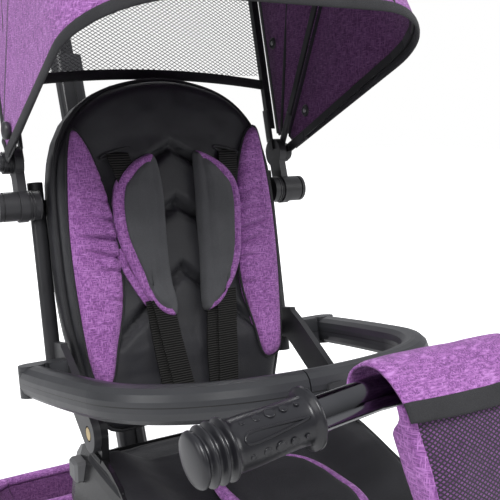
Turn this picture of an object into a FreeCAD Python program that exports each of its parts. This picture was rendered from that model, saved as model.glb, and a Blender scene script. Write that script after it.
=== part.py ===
"""Folding push tricycle: a parametric document, in millimetres.

Frame: +Z up, the front wheel towards -Y, the child's left hand towards +X, the ground at Z 0.
Every driving dimension is a cell of the sheet "Sizes"; each sub-part is one labelled object.
"""
import FreeCAD, Part
import math
import os

import Sketcher

V = FreeCAD.Vector

SIZES = {
    # running clearances shared by the whole tricycle
    "running_gap": 0.05,
    "side_gap": 0.3,
    "overrun": 2.0,
    # rear wheels and axle
    "rear_wheel_radius": 100.0,
    "rear_tyre_width": 42.0,
    "rear_wheel_offset": 236.0,
    "rear_axle_y": 215.0,
    "rear_axle_radius": 6.0,
    "rear_hub_length": 48.0,
    "tyre_depth": 22.0,
    "tyre_shoulder": 9.0,
    "rim_depth": 10.0,
    "rim_width": 32.0,
    "rim_web": 8.0,
    "hub_radius": 19.0,
    "window_margin": 6.0,
    "spoke_count": 5.0,
    "spoke_width": 15.0,
    "hub_cap_radius": 23.0,
    "hub_cap_height": 9.0,
    "axle_end_length": 3.0,
    # front wheel, cranks and pedals
    "front_wheel_radius": 125.0,
    "front_tyre_width": 46.0,
    "front_hub_length": 54.0,
    "crank_axle_radius": 7.0,
    "crank_length": 72.0,
    "crank_thickness": 13.0,
    "crank_width": 22.0,
    "crank_offset": 62.0,
    "pedal_pin_radius": 5.0,
    "pedal_length": 78.0,
    "pedal_width": 54.0,
    "pedal_height": 20.0,
    "pedal_corner": 8.0,
    "pedal_tread_depth": 2.5,
    "pedal_tread_width": 5.0,
    # fork, fender and steering column
    "steer_lean": 14.0,
    "fork_width": 92.0,
    "fork_blade": 18.0,
    "fork_depth": 30.0,
    "fork_crown_thickness": 22.0,
    "fork_drop": 16.0,
    "fork_corner": 14.0,
    "fender_gap": 6.0,
    "fender_wall": 3.0,
    "fender_width": 56.0,
    "fender_angle": 120.0,
    "steerer_radius": 12.7,
    "head_tube_radius": 20.0,
    "head_tube_length": 96.0,
    "stem_base_radius": 24.0,
    "stem_top_radius": 19.0,
    # handlebar and grips
    "handlebar_y": -385.0,
    "handlebar_z": 538.0,
    "handlebar_radius": 12.5,
    "handlebar_straight": 62.0,
    "handlebar_droop": 5.6,
    "handlebar_half": 202.0,
    "clamp_radius": 17.0,
    "clamp_width": 40.0,
    "grip_inner": 119.0,
    "grip_flange_radius": 22.0,
    "grip_flange_width": 6.0,
    "grip_radius": 16.5,
    "grip_ring_radius": 20.5,
    "grip_ring_width": 4.5,
    "grip_ring_gap": 2.6,
    "grip_groove_radius": 17.6,
    "grip_dome": 9.0,
    # handlebar bag
    "bag_half_width": 63.0,
    "bag_bottom_half": 40.0,
    "bag_flap_gap": 0.3,
    "bag_flap_wall": 4.5,
    "bag_flap_tail": 34.0,
    "bag_depth_top": 34.0,
    "bag_depth_bottom": 20.0,
    "bag_height": 118.0,
    # frame, fold hinge and footrests
    "hinge_y": -30.0,
    "hinge_z": 180.0,
    "hinge_pin_radius": 5.0,
    "hinge_tongue": 26.0,
    "hinge_ear": 7.0,
    "hinge_round": 16.0,
    "hinge_rise": 40.0,
    "hinge_relief": 18.0,
    "beam_width": 34.0,
    "beam_round": 14.0,
    "beam_rise": 4.0,
    "beam_low_y": -235.0,
    "beam_low_z": 186.0,
    "beam_bend": 130.0,
    "axle_tube_radius": 14.0,
    "footrest_y": -262.0,
    "footrest_z": 150.0,
    "footrest_pin_radius": 4.0,
    "footrest_pin_offset": 34.0,
    "footrest_length": 92.0,
    "footrest_width": 74.0,
    "footrest_thickness": 10.0,
    "footrest_block": 24.0,
    "footrest_rib_depth": 2.0,
    "footrest_rib_width": 5.0,
    "lever_length": 64.0,
    "lever_width": 18.0,
    "lever_thickness": 8.0,
    "lever_pivot_y": 2.0,
    "lever_pivot_z": 206.0,
    "lever_pin_radius": 4.0,
    # push pole
    "pole_y": 469.0,
    "pole_z": 735.0,
    "pole_lean": 23.56,
    "pole_base_z": 124.0,
    "pole_width": 42.0,
    "pole_depth": 27.0,
    "pole_round": 8.0,
    "pole_channel_width": 9.0,
    "pole_channel_depth": 3.0,
    "pole_top_z": 806.0,
    "pole_collar_height": 34.0,
    "pole_collar_wall": 3.5,
    "pole_socket_wall": 6.0,
    "pole_socket_height": 120.0,
    "pole_tube_width": 29.0,
    "pole_tube_depth": 16.0,
    "pole_tube_wall": 1.6,
    "pole_tube_gap": 0.3,
    "pole_boss": 20.0,
    "pole_boss_depth": 9.0,
    "pole_tube_top_z": 1000.0,
    "pole_tube_inside": 300.0,
    "handle_half": 105.0,
    "handle_radius": 16.0,
    "handle_block": 44.0,
    "handle_block_depth": 40.0,
    "pole_button_radius": 6.0,
    "pole_button_travel": 3.0,
    "pole_button_height": 5.0,
    # rear brake
    "brake_width": 74.0,
    "brake_length": 56.0,
    "brake_thickness": 9.0,
    "brake_ear": 6.0,
    "brake_x": 80.0,
    "brake_y": 204.0,
    "brake_z": 123.0,
    "brake_rest": 25.0,
    "brake_pin_radius": 4.0,
    # rear basket
    "basket_half": 195.0,
    "basket_front_y": 268.0,
    "basket_back_y": 366.0,
    "basket_rim_z": 152.0,
    "basket_bottom_z": 58.0,
    "basket_taper": 56.0,
    "basket_corner": 42.0,
    "basket_wall": 3.0,
    "basket_wire_radius": 4.0,
    # seat
    "seat_y": 22.0,
    "seat_z": 360.0,
    "seat_half": 165.0,
    "seat_front_y": -252.0,
    "seat_back_y": 66.0,
    "seat_bottom_z": 252.0,
    "seat_front_rim_z": 330.0,
    "seat_side_rim_z": 372.0,
    "seat_back_rim_z": 322.0,
    "seat_floor": 10.0,
    "seat_top_inset": 13.0,
    "seat_bottom_inset": 46.0,
    "seat_belly_z": 292.0,
    "seat_level": 17.0,
    "seat_wall": 5.0,
    "seat_pad_gap": 0.4,
    "pad_front_drop": 30.0,
    "pad_tail_drop": 14.0,
    "pad_dish": 8.0,
    "pad_hip_sink": 6.0,
    "pad_lift": 4.0,
    "pad_lip": 2.0,
    "pad_reach": 400.0,
    "seat_pad_z": 341.0,
    "seat_bolster_z": 364.0,
    "seat_round": 60.0,
    "seat_plate_thickness": 5.0,
    "seat_post_width": 40.0,
    "seat_post_length": 60.0,
    "seat_post_y": 0.0,
    "seat_plate_half": 60.0,
    "seat_plate_length": 150.0,
    "crotch_back_y": -112.0,
    "crotch_front_y": -262.0,
    "crotch_half": 57.0,
    "crotch_thickness": 14.0,
    # backrest, measured along its own tilted frame
    "backrest_tilt": 12.1,
    "backrest_pad_crown": 20.0,
    "backrest_lip": 4.0,
    "backrest_lip_depth": 7.0,
    "backrest_shell_depth": 34.0,
    "backrest_strap_seat": 8.0,
    "backrest_crown_radius": 1400.0,
    "backrest_crown_length": 500.0,
    "backrest_crown_start": -20.0,
    "backrest_shell_wall": 4.0,
    "backrest_shell_edge": 2.0,
    "backrest_shell_front": 20.0,
    "backrest_tube_radius": 9.0,
    "backrest_tube_x": 158.3,
    "backrest_tube_depth": 43.0,
    "backrest_tube_bottom": 52.0,
    "backrest_tube_top": 300.0,
    "backrest_strap_height": 20.0,
    "backrest_strap_thickness": 5.0,
    "panel_thickness": 9.0,
    "shoulder_top": 323.0,
    "shoulder_bottom": 128.0,
    "shoulder_half": 25.0,
    "shoulder_thickness": 13.0,
    "shoulder_top_x": 64.0,
    "shoulder_bottom_x": 36.0,
    "webbing_width": 25.0,
    "webbing_thickness": 1.6,
    "buckle_width": 46.0,
    "buckle_height": 42.0,
    "buckle_sink": 0.8,
    "buckle_thickness": 14.0,
    # side brackets with the recline pivots
    "bracket_x": 151.3,
    "bracket_thickness": 8.0,
    "bracket_width": 40.0,
    "seat_ear_inner": 143.0,
    "seat_ear_foot": 6.0,
    "catch_bevel": 3.0,
    "seat_ear_sole": 5.0,
    "recline_y": -39.0,
    "recline_z": 394.0,
    "recline_bolt_radius": 5.0,
    "recline_bolt_head": 7.0,
    "recline_recess": 3.5,
    # safety bar
    "bar_half": 196.0,
    "bar_y": 34.0,
    "bar_z": 437.0,
    "bar_rise": 10.7,
    "bar_length": 298.0,
    "bar_height": 35.0,
    "bar_width": 29.0,
    "bar_round": 12.5,
    "bar_front_radius": 260.0,
    "bar_corner_radius": 150.0,
    "bar_front_angle": 15.0,
    "bar_corner_angle": 80.0,
    "bar_joint_x": -34.0,
    "bar_joint_gap": 1.2,
    "bar_socket_gap": 1.0,
    "bar_pin_radius": 5.0,
    "bar_ear": 6.0,
    "bar_button_x": -12.0,
    "bar_button_width": 17.0,
    "bar_button_height": 11.0,
    "bar_button_depth": 8.0,
    "bar_button_proud": 2.5,
    # canopy
    "canopy_pivot_y": 112.0,
    "canopy_pivot_z": 620.0,
    "canopy_hub_y": 129.0,
    "canopy_hub_z": 669.0,
    "canopy_barrel_radius": 17.0,
    "canopy_barrel_outer": 206.0,
    "canopy_arm_x": 178.0,
    "canopy_arm_thickness": 10.0,
    "canopy_arm_width": 24.0,
    "canopy_hub_radius": 19.0,
    "canopy_reach": 349.0,
    "canopy_eye_radius": 13.0,
    "canopy_pin_radius": 5.0,
    "canopy_skin_low": 28.0,
    "canopy_axle_radius": 8.0,
    "canopy_lap": 3.0,
    "canopy_nest_gap": 0.6,
    "canopy_angle_rear": 106.0,
    "canopy_angle_mid": 67.0,
    "canopy_angle_front": 28.0,
    "canopy_bow_width": 9.0,
    "canopy_bow_thickness": 3.0,
    "canopy_bow_corner": 95.0,
    "canopy_corner_chords": 6,
    "canopy_skin": 2.0,
    "canopy_hem_rise": 96.0,
    "mesh_strand": 2.2,
    "mesh_pitch": 27.0,
    "mesh_thickness": 1.2,
    "canopy_hem_height": 14.0,
}


class Size:
    """A number and the sheet formula that gives it, so that one sum both shapes and binds."""

    def __init__(self, value, formula):
        self.value = float(value)
        self.formula = formula

    def __add__(self, other):
        return Size(self.value + num(other), f"({self.formula} + {text(other)})")

    def __radd__(self, other):
        return Size(num(other) + self.value, f"({text(other)} + {self.formula})")

    def __sub__(self, other):
        return Size(self.value - num(other), f"({self.formula} - {text(other)})")

    def __rsub__(self, other):
        return Size(num(other) - self.value, f"({text(other)} - {self.formula})")

    def __mul__(self, other):
        return Size(self.value * num(other), f"({self.formula} * {text(other)})")

    __rmul__ = __mul__

    def __truediv__(self, other):
        return Size(self.value / num(other), f"({self.formula} / {text(other)})")

    def __neg__(self):
        return Size(-self.value, f"(0 - {self.formula})")


def num(x):
    return x.value if isinstance(x, Size) else float(x)


def text(x):
    return x.formula if isinstance(x, Size) else repr(float(x))


def sine(angle):
    return Size(math.sin(math.radians(num(angle))), f"sin({text(angle)} * 1 deg)")


def cosine(angle):
    return Size(math.cos(math.radians(num(angle))), f"cos({text(angle)} * 1 deg)")


def tangent(angle):
    return Size(math.tan(math.radians(num(angle))), f"tan({text(angle)} * 1 deg)")


def angle_of(rise, run):
    value = math.degrees(math.atan2(num(rise), num(run)))
    return Size(value, f"(atan2({text(rise)}; {text(run)}) / 1 deg)")


class Sheet:
    """The driving dimensions, each under its own name."""


doc = FreeCAD.newDocument("folding_tricycle")
cells = doc.addObject("Spreadsheet::Sheet", "Sizes")
s = Sheet()
for row, (name, value) in enumerate(SIZES.items(), 1):
    cells.set(f"A{row}", name)
    cells.set(f"B{row}", str(value))
    cells.setAlias(f"B{row}", name)
    setattr(s, name, Size(value, "Sizes." + name))
doc.recompute()

NODES = {}


def node(name, piece):
    """Labels a finished sub-part and keeps it for export."""
    piece.Label = name
    NODES[name] = piece
    return piece


def bind(piece, path, value):
    """Sets a property from a size and keeps the property bound to the sheet."""
    if isinstance(value, Size):
        piece.setExpression(path, value.formula)
    else:
        setattr(piece, path, value)


class Frame:
    """A place with its own axes: an origin and how far its Z axis leans back."""

    def __init__(self, x, y, z, lean=0):
        self.origin = (x, y, z)
        self.lean = lean

    def point(self, x, y, z):
        ox, oy, oz = self.origin
        if not num(self.lean):
            return (ox + x, oy + y, oz + z)
        c = cosine(self.lean)
        k = sine(self.lean)
        return (ox + x, oy + y * c + z * k, oz - y * k + z * c)

    def vector(self, x, y, z):
        return V(*[num(q) for q in self.point(x, y, z)])

    def rotation(self, turn=None):
        tilt = FreeCAD.Rotation(V(1, 0, 0), -num(self.lean))
        return tilt if turn is None else tilt * turn

    def place(self, piece, x=0, y=0, z=0, turn=None):
        at = self.point(x, y, z)
        piece.Placement = FreeCAD.Placement(V(*[num(q) for q in at]), self.rotation(turn))
        for letter, q in zip("xyz", at):
            if isinstance(q, Size):
                piece.setExpression(".Placement.Base." + letter, q.formula)
        return piece


ALONG_X = FreeCAD.Rotation(V(0, 1, 0), 90)
ALONG_Y = FreeCAD.Rotation(V(1, 0, 0), -90)
ALONG_Z = None
FLIPPED = FreeCAD.Rotation(V(0, 1, 0), -90)
ground = Frame(0, 0, 0)


def cylinder(radius, height, frame, at, turn=ALONG_Z):
    piece = doc.addObject("Part::Cylinder", "cylinder")
    bind(piece, "Radius", radius)
    bind(piece, "Height", height)
    return frame.place(piece, *at, turn=turn)


def cone(radius1, radius2, height, frame, at, turn=ALONG_Z):
    piece = doc.addObject("Part::Cone", "cone")
    bind(piece, "Radius1", radius1)
    bind(piece, "Radius2", radius2)
    bind(piece, "Height", height)
    return frame.place(piece, *at, turn=turn)


def box(length, width, height, frame, at, turn=ALONG_Z):
    piece = doc.addObject("Part::Box", "box")
    bind(piece, "Length", length)
    bind(piece, "Width", width)
    bind(piece, "Height", height)
    return frame.place(piece, *at, turn=turn)


def ball(radius, frame, at):
    piece = doc.addObject("Part::Sphere", "ball")
    bind(piece, "Radius", radius)
    return frame.place(piece, *at)


def fuse(*pieces):
    piece = doc.addObject("Part::MultiFuse", "fuse")
    piece.Shapes = list(pieces)
    piece.Refine = True
    return piece


def cut(base, *tools):
    piece = doc.addObject("Part::Cut", "cut")
    piece.Base = base
    piece.Tool = tools[0] if len(tools) == 1 else fuse(*tools)
    return piece


def group(*pieces):
    """Several loose solids that share one node."""
    piece = doc.addObject("Part::Compound", "group")
    piece.Links = list(pieces)
    return piece


def mirrored(source):
    piece = doc.addObject("Part::Mirroring", "mirrored")
    piece.Source = source
    piece.Normal = V(1, 0, 0)
    return piece


def feature(shape, frame=None):
    """A sub-part whose shape comes from Part's own functions."""
    piece = doc.addObject("Part::Feature", "feature")
    piece.Shape = shape
    if frame is not None:
        frame.place(piece)
    return piece


def arc(radius, bow):
    """Between two corners: an arc of this radius that bows to the left (1) or right (-1)."""
    return ("arc", radius, bow)


class Moulding:
    """A PartDesign body, drawn in its own frame and then placed."""

    def __init__(self, name, frame=ground, at=(0, 0, 0), turn=None):
        self.body = doc.addObject("PartDesign::Body", name)
        self.made = 0
        frame.place(self.body, *at, turn=turn)

    def sketch(self, plane, outline=(), circles=(), offset=None):
        drawing = self.body.newObject("Sketcher::SketchObject", "sketch")
        origin = [f for f in self.body.Origin.OriginFeatures if f.Role == plane + "_Plane"][0]
        drawing.AttachmentSupport = [(origin, "")]
        drawing.MapMode = "FlatFace"
        if offset is not None:
            drawing.AttachmentOffset = FreeCAD.Placement(V(0, 0, num(offset)), FreeCAD.Rotation())
            if isinstance(offset, Size):
                drawing.setExpression(".AttachmentOffset.Base.z", offset.formula)
        if outline:
            draw_outline(drawing, outline)
        for x, y, radius in circles:
            draw_circle(drawing, x, y, radius)
        return drawing

    def _feature(self, kind, drawing):
        self.made += 1
        piece = self.body.newObject("PartDesign::" + kind, kind.lower())
        piece.Profile = drawing
        return piece

    def pad(self, drawing, length, side="Symmetric", backwards=False):
        piece = self._feature("Pad", drawing)
        piece.SideType = side
        piece.Reversed = backwards
        bind(piece, "Length", length)
        return piece

    def pocket(self, drawing, length, side="Symmetric", backwards=False):
        piece = self._feature("Pocket", drawing)
        piece.SideType = side
        piece.Reversed = backwards
        bind(piece, "Length", length)
        return piece

    def revolve(self, drawing, angle=360, side="One side"):
        piece = self._feature("Revolution", drawing)
        piece.ReferenceAxis = (drawing, ["V_Axis"])
        piece.Midplane = side == "Symmetric"
        bind(piece, "Angle", angle)
        return piece

    def groove(self, drawing):
        piece = self._feature("Groove", drawing)
        piece.ReferenceAxis = (drawing, ["V_Axis"])
        piece.Angle = 360
        return piece

    def polar(self, feature_, count, axis="Z_Axis"):
        piece = self.body.newObject("PartDesign::PolarPattern", "pattern")
        piece.Originals = [feature_]
        origin = [f for f in self.body.Origin.OriginFeatures if f.Role == axis][0]
        piece.Axis = (origin, [""])
        piece.Angle = 360
        bind(piece, "Occurrences", count)
        self.body.Tip = piece
        return piece

    def row(self, feature_, count, length, axis="X_Axis"):
        piece = self.body.newObject("PartDesign::LinearPattern", "row")
        piece.Originals = [feature_]
        origin = [f for f in self.body.Origin.OriginFeatures if f.Role == axis][0]
        piece.Direction = (origin, [""])
        bind(piece, "Length", length)
        piece.Occurrences = count
        self.body.Tip = piece
        return piece

    def fillet(self, base, radius, chosen):
        """Rounds the edges that the test picks, in the body's own frame."""
        doc.recompute()
        shape = base.Shape
        names = [f"Edge{i}" for i, e in enumerate(shape.Edges, 1) if chosen(e)]
        piece = self.body.newObject("PartDesign::Fillet", "fillet")
        piece.Base = (base, names)
        bind(piece, "Radius", radius)
        return piece


def draw_outline(drawing, items):
    """Draws a closed outline of corners and arcs, each corner bound to its sizes."""
    corners = [q for q in items if q[0] != "arc"]
    bends = {}
    at = -1
    for q in items:
        if q[0] == "arc":
            bends[at] = q
        else:
            at += 1
    count = len(corners)
    points = [V(num(x), num(y), 0) for x, y in corners]
    lines = []
    for i in range(count):
        a = points[i]
        b = points[(i + 1) % count]
        if i in bends:
            radius = num(bends[i][1])
            half = a.distanceToPoint(b) / 2
            sagitta = radius - math.sqrt(max(radius * radius - half * half, 0))
            left = V(a.y - b.y, b.x - a.x, 0).normalize()
            middle = (a + b) * 0.5 + left * (sagitta * bends[i][2])
            lines.append(Part.Arc(b, middle, a) if bends[i][2] > 0 else Part.Arc(a, middle, b))
        else:
            lines.append(Part.LineSegment(a, b))
    first = drawing.GeometryCount
    drawing.addGeometry(lines, False)
    ends = []
    for i in range(count):
        ends.append((2, 1) if i in bends and bends[i][2] > 0 else (1, 2))
    rules = []
    for i in range(count):
        j = (i + 1) % count
        rules.append(Sketcher.Constraint("Coincident", first + i, ends[i][1], first + j, ends[j][0]))
    drawing.addConstraint(rules)
    for i, (x, y) in enumerate(corners):
        hold(drawing, "DistanceX", (-1, 1, first + i, ends[i][0]), x, f"across_{first + i}")
        hold(drawing, "DistanceY", (-1, 1, first + i, ends[i][0]), y, f"along_{first + i}")
    for i, (_, radius, _) in bends.items():
        hold(drawing, "Radius", (first + i,), radius, f"bend_{first + i}")


def draw_circle(drawing, x, y, radius):
    i = drawing.addGeometry(Part.Circle(V(num(x), num(y), 0), V(0, 0, 1), num(radius)), False)
    hold(drawing, "DistanceX", (-1, 1, i, 3), x, f"across_{i}")
    hold(drawing, "DistanceY", (-1, 1, i, 3), y, f"along_{i}")
    hold(drawing, "Radius", (i,), radius, f"bend_{i}")


def hold(drawing, kind, geometry, value, name):
    i = drawing.addConstraint(Sketcher.Constraint(kind, *geometry, num(value)))
    if isinstance(value, Size):
        drawing.renameConstraint(i, name)
        drawing.setExpression("Constraints." + name, value.formula)


def rounded(x0, x1, y0, y1, radius):
    """The outline of a rectangle with round corners, anticlockwise."""
    return [
        (x0 + radius, y0), (x1 - radius, y0), arc(radius, -1),
        (x1, y0 + radius), (x1, y1 - radius), arc(radius, -1),
        (x1 - radius, y1), (x0 + radius, y1), arc(radius, -1),
        (x0, y1 - radius), (x0, y0 + radius), arc(radius, -1),
    ]


def slot_plate(frame, start, end, radius, x, thickness):
    """A flat link in a YZ plane: two round ends and the web between them."""
    (y0, z0), (y1, z1) = start, end
    run = math.hypot(num(y1 - y0), num(z1 - z0))
    away = FreeCAD.Rotation(V(1, 0, 0), math.degrees(math.atan2(num(z1 - z0), num(y1 - y0))))
    web = box(thickness, run, radius * 2, frame, (x, y0, z0), away)
    corner = frame.rotation(away).multVec(V(0, 0, -num(radius)))
    web.Placement.Base = frame.vector(x, y0, z0) + corner
    for letter in "xyz":
        web.setExpression(".Placement.Base." + letter, None)
    return fuse(
        cylinder(radius, thickness, frame, (x, y0, z0), ALONG_X),
        cylinder(radius, thickness, frame, (x, y1, z1), ALONG_X),
        web,
    )


# Rear wheels: foam tyres on spoked rims that run on one through axle.
rear_axle = Frame(0, s.rear_axle_y, s.rear_wheel_radius)


def tyre(name, radius, width, frame, x):
    half = width / 2
    slope = radius - s.tyre_shoulder * 0.25
    bead = radius - s.tyre_depth
    body = Moulding(name, frame, (x, 0, 0), ALONG_X)
    body.revolve(body.sketch("XZ", [
        (bead, -s.rim_width / 2), (radius - s.tyre_shoulder, -half), (slope, -half * 0.65),
        (radius, -half * 0.3), (radius, half * 0.3), (slope, half * 0.65),
        (radius - s.tyre_shoulder, half), (bead, s.rim_width / 2),
    ]))
    return node(name, body.body)


def rim(name, radius, hub_length, bore, frame, x):
    bed = radius - s.tyre_depth
    well = bed - s.rim_depth
    body = Moulding(name, frame, (x, 0, 0), ALONG_X)
    half_web = s.rim_web / 2
    half_hub = hub_length / 2
    half_rim = s.rim_width / 2
    body.revolve(body.sketch("XZ", [
        (bore, -half_hub), (s.hub_radius, -half_hub), (s.hub_radius, -half_web),
        (well, -half_web), (well, -half_rim), (bed, -half_rim),
        (bed, half_rim), (well, half_rim), (well, half_web),
        (s.hub_radius, half_web), (s.hub_radius, half_hub), (bore, half_hub),
    ]))
    pitch = 180 / s.spoke_count.value
    inner = s.hub_radius + s.window_margin
    outer = well - s.window_margin
    edge = outer * cosine(pitch)
    lean = tangent(pitch)
    spare = s.spoke_width / 2 / cosine(pitch)
    window = body.pocket(body.sketch("XY", [
        (inner, spare - inner * lean), (edge, spare - edge * lean), arc(outer, -1),
        (edge, edge * lean - spare), (inner, inner * lean - spare),
    ]), s.rim_web + s.overrun)
    body.polar(window, s.spoke_count)
    return node(name, body.body)


def hub_cap(name, x, turn):
    body = Moulding(name, rear_axle, (x, 0, 0), turn)
    well = s.axle_end_length + s.side_gap
    mouth = s.rear_axle_radius + s.side_gap
    body.revolve(body.sketch("XZ", [
        (mouth, 0), (s.hub_cap_radius, 0), (s.hub_cap_radius, s.hub_cap_height / 2),
        (s.hub_cap_radius * 0.8, s.hub_cap_height * 0.9), (s.hub_cap_radius * 0.4, s.hub_cap_height),
        (0, s.hub_cap_height), (0, well), (mouth, well),
    ]))
    return node(name, body.body)


for side, sign in (("left", 1), ("right", -1)):
    centre = s.rear_wheel_offset * sign
    tyre("rear_tyre_" + side, s.rear_wheel_radius, s.rear_tyre_width, rear_axle, centre)
    rim("rear_rim_" + side, s.rear_wheel_radius, s.rear_hub_length,
        s.rear_axle_radius + s.running_gap, rear_axle, centre)
    hub_cap("hub_cap_" + side, centre + s.rear_hub_length * (sign / 2), ALONG_X if sign > 0 else FLIPPED)

axle_half = s.rear_wheel_offset + s.rear_hub_length / 2 + s.axle_end_length
node("rear_axle", cylinder(s.rear_axle_radius, axle_half * 2, rear_axle, (-axle_half, 0, 0), ALONG_X))

# Front wheel with its cranks, held in the fork.
wheel_y = s.handlebar_y - (s.handlebar_z - s.front_wheel_radius) * tangent(s.steer_lean)
hub = Frame(0, wheel_y, s.front_wheel_radius)
tyre("front_tyre", s.front_wheel_radius, s.front_tyre_width, hub, 0)
rim("front_rim", s.front_wheel_radius, s.front_hub_length, s.crank_axle_radius, hub, 0)


def crank(sign):
    inner = s.crank_offset - s.crank_thickness / 2
    start = inner if sign > 0 else -(inner + s.crank_thickness)
    radius = s.crank_width / 2
    reach = s.crank_length * sign
    return fuse(
        cylinder(radius, s.crank_thickness, hub, (start, 0, 0), ALONG_X),
        cylinder(radius * 0.8, s.crank_thickness, hub, (start, reach, 0), ALONG_X),
        box(s.crank_thickness, s.crank_length, radius * 1.5, hub,
            (start, 0 if sign > 0 else reach, -radius * 0.75)),
        cylinder(s.pedal_pin_radius, pedal_reach, hub,
                 (start if sign > 0 else start + s.crank_thickness - pedal_reach, reach, 0), ALONG_X),
    )


pedal_inner = s.crank_offset + s.crank_thickness / 2 + s.side_gap
pedal_reach = s.crank_thickness + s.side_gap + s.pedal_length * 0.9
node("crankset", fuse(
    cylinder(s.crank_axle_radius, s.crank_offset * 2, hub, (-s.crank_offset, 0, 0), ALONG_X),
    crank(1), crank(-1),
))


def pedal(name, sign):
    start = pedal_inner if sign > 0 else -(pedal_inner + s.pedal_length)
    y = s.crank_length * sign
    body = Moulding(name, hub, (start, y, 0))
    body.pad(body.sketch("YZ", rounded(
        -s.pedal_width / 2, s.pedal_width / 2, -s.pedal_height / 2, s.pedal_height / 2, s.pedal_corner,
    ), circles=[(0, 0, s.pedal_pin_radius + s.running_gap)]), s.pedal_length, "One side")
    pitch = s.pedal_length / 7
    for face in (1, -1):
        level = s.pedal_height / 2 - s.pedal_tread_depth
        groove = body.pocket(body.sketch("XZ", [
            (pitch, level * face), (pitch + s.pedal_tread_width, level * face),
            (pitch + s.pedal_tread_width, s.pedal_height * face), (pitch, s.pedal_height * face),
        ]), s.pedal_width * 2)
        body.row(groove, 5, pitch * 5)
    return node(name, body.body)


pedal("pedal_left", 1)
pedal("pedal_right", -1)

# Fork, fender and steering column, all square to the steering axis.
steer = Frame(0, wheel_y, s.front_wheel_radius, s.steer_lean)
crown_low = s.front_wheel_radius + s.fender_gap + s.fender_wall
crown_high = crown_low + s.fork_crown_thickness
bar_level = (s.handlebar_z - s.front_wheel_radius) / cosine(s.steer_lean)
head_low = crown_high + s.side_gap
head_high = head_low + s.head_tube_length
column_top = bar_level - s.handlebar_radius

fork_half = s.fork_width / 2
fork_inner = fork_half - s.fork_blade
fork = Moulding("fork_body", steer)
legs = fork.pad(fork.sketch("XZ", [
    (-fork_half, -s.fork_drop), (-fork_inner, -s.fork_drop), (-fork_inner, crown_low),
    (fork_inner, crown_low), (fork_inner, -s.fork_drop), (fork_half, -s.fork_drop),
    (fork_half, crown_low), (s.stem_base_radius, crown_high), (-s.stem_base_radius, crown_high),
    (-fork_half, crown_low),
]), s.fork_depth)
holes = fork.pocket(
    fork.sketch("YZ", circles=[(0, 0, s.crank_axle_radius + s.running_gap)]), s.fork_width + s.overrun)
fork.fillet(holes, s.fork_corner, lambda e: e.BoundBox.ZMax < -s.fork_drop.value + 0.1
            and e.BoundBox.XLength > s.fork_blade.value / 2)
node("front_fork", fuse(
    fork.body,
    cylinder(s.steerer_radius, column_top - crown_low, steer, (0, 0, crown_low)),
))

FENDER_RIDGE_SHARE = 0.4
fender_inner = s.front_wheel_radius + s.fender_gap
fender_edge = fender_inner - s.tyre_shoulder
fender_half = s.fender_width / 2
fender_lip = fender_half - s.fender_wall
deep = s.tyre_shoulder + s.fender_wall
fender = Moulding("front_fender", steer, (0, 0, 0), FLIPPED)
ridge = fender_half * FENDER_RIDGE_SHARE
fender.revolve(fender.sketch("XZ", [
    (fender_edge, -fender_half), (fender_edge + deep, -ridge), (fender_edge + deep, ridge),
    (fender_edge, fender_half), (fender_edge, fender_lip), (fender_inner, ridge), (fender_inner, -ridge),
    (fender_edge, -fender_lip),
]), s.fender_angle, "Symmetric")
node("front_fender", fender.body)

node("stem", cut(
    fuse(
        cone(s.stem_base_radius, s.stem_top_radius, column_top - head_high - s.side_gap, steer,
             (0, 0, head_high + s.side_gap)),
        cylinder(s.clamp_radius, s.clamp_width, steer, (-s.clamp_width / 2, 0, bar_level), ALONG_X),
    ),
    cylinder(s.steerer_radius, column_top - head_high, steer, (0, 0, head_high)),
    cylinder(s.handlebar_radius, s.clamp_width * 2, steer, (-s.clamp_width, 0, bar_level), ALONG_X),
))

# Handlebar: a straight middle, drooped ends, and a moulded grip on each end.
droop_left = FreeCAD.Rotation(V(0, 1, 0), 90 + s.handlebar_droop.value)
droop_right = FreeCAD.Rotation(V(0, 1, 0), -90 - s.handlebar_droop.value)
arm_length = s.handlebar_half - s.handlebar_straight
node("handlebar", fuse(
    cylinder(s.handlebar_radius, s.handlebar_straight * 2, steer,
             (-s.handlebar_straight, 0, bar_level), ALONG_X),
    cylinder(s.handlebar_radius, arm_length, steer, (s.handlebar_straight, 0, bar_level), droop_left),
    cylinder(s.handlebar_radius, arm_length, steer, (-s.handlebar_straight, 0, bar_level), droop_right),
    ball(s.handlebar_radius, steer, (s.handlebar_straight, 0, bar_level)),
    ball(s.handlebar_radius, steer, (-s.handlebar_straight, 0, bar_level)),
))


def grip(name, sign):
    turn = droop_left if sign > 0 else droop_right
    body = Moulding(name, steer, (s.handlebar_straight * sign, 0, bar_level), turn)
    start = s.grip_inner - s.handlebar_straight
    flange = start + s.grip_flange_width
    step = s.grip_ring_width + s.grip_ring_gap
    rings = arm_length - step * 3
    outline = [
        (s.handlebar_radius, start), (s.grip_flange_radius, start), (s.grip_flange_radius, flange),
        (s.grip_radius, flange + s.grip_ring_gap), (s.grip_radius, rings - s.grip_ring_gap),
        (s.grip_groove_radius, rings),
    ]
    for i in range(3):
        low = rings + step * i
        high = low + s.grip_ring_width
        outline += [(s.grip_ring_radius, low), (s.grip_ring_radius, high)]
        if i < 2:
            outline += [(s.grip_groove_radius, high), (s.grip_groove_radius, low + step)]
    tip = arm_length + s.grip_dome
    outline += [(s.grip_ring_radius * 0.8, tip - s.grip_dome * 0.4), (s.grip_ring_radius * 0.45, tip),
                (0, tip), (0, arm_length), (s.handlebar_radius, arm_length)]
    body.revolve(body.sketch("XZ", outline))
    return body.body


node("handlebar_grips", group(grip("grip_left", 1), grip("grip_right", -1)))

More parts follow.
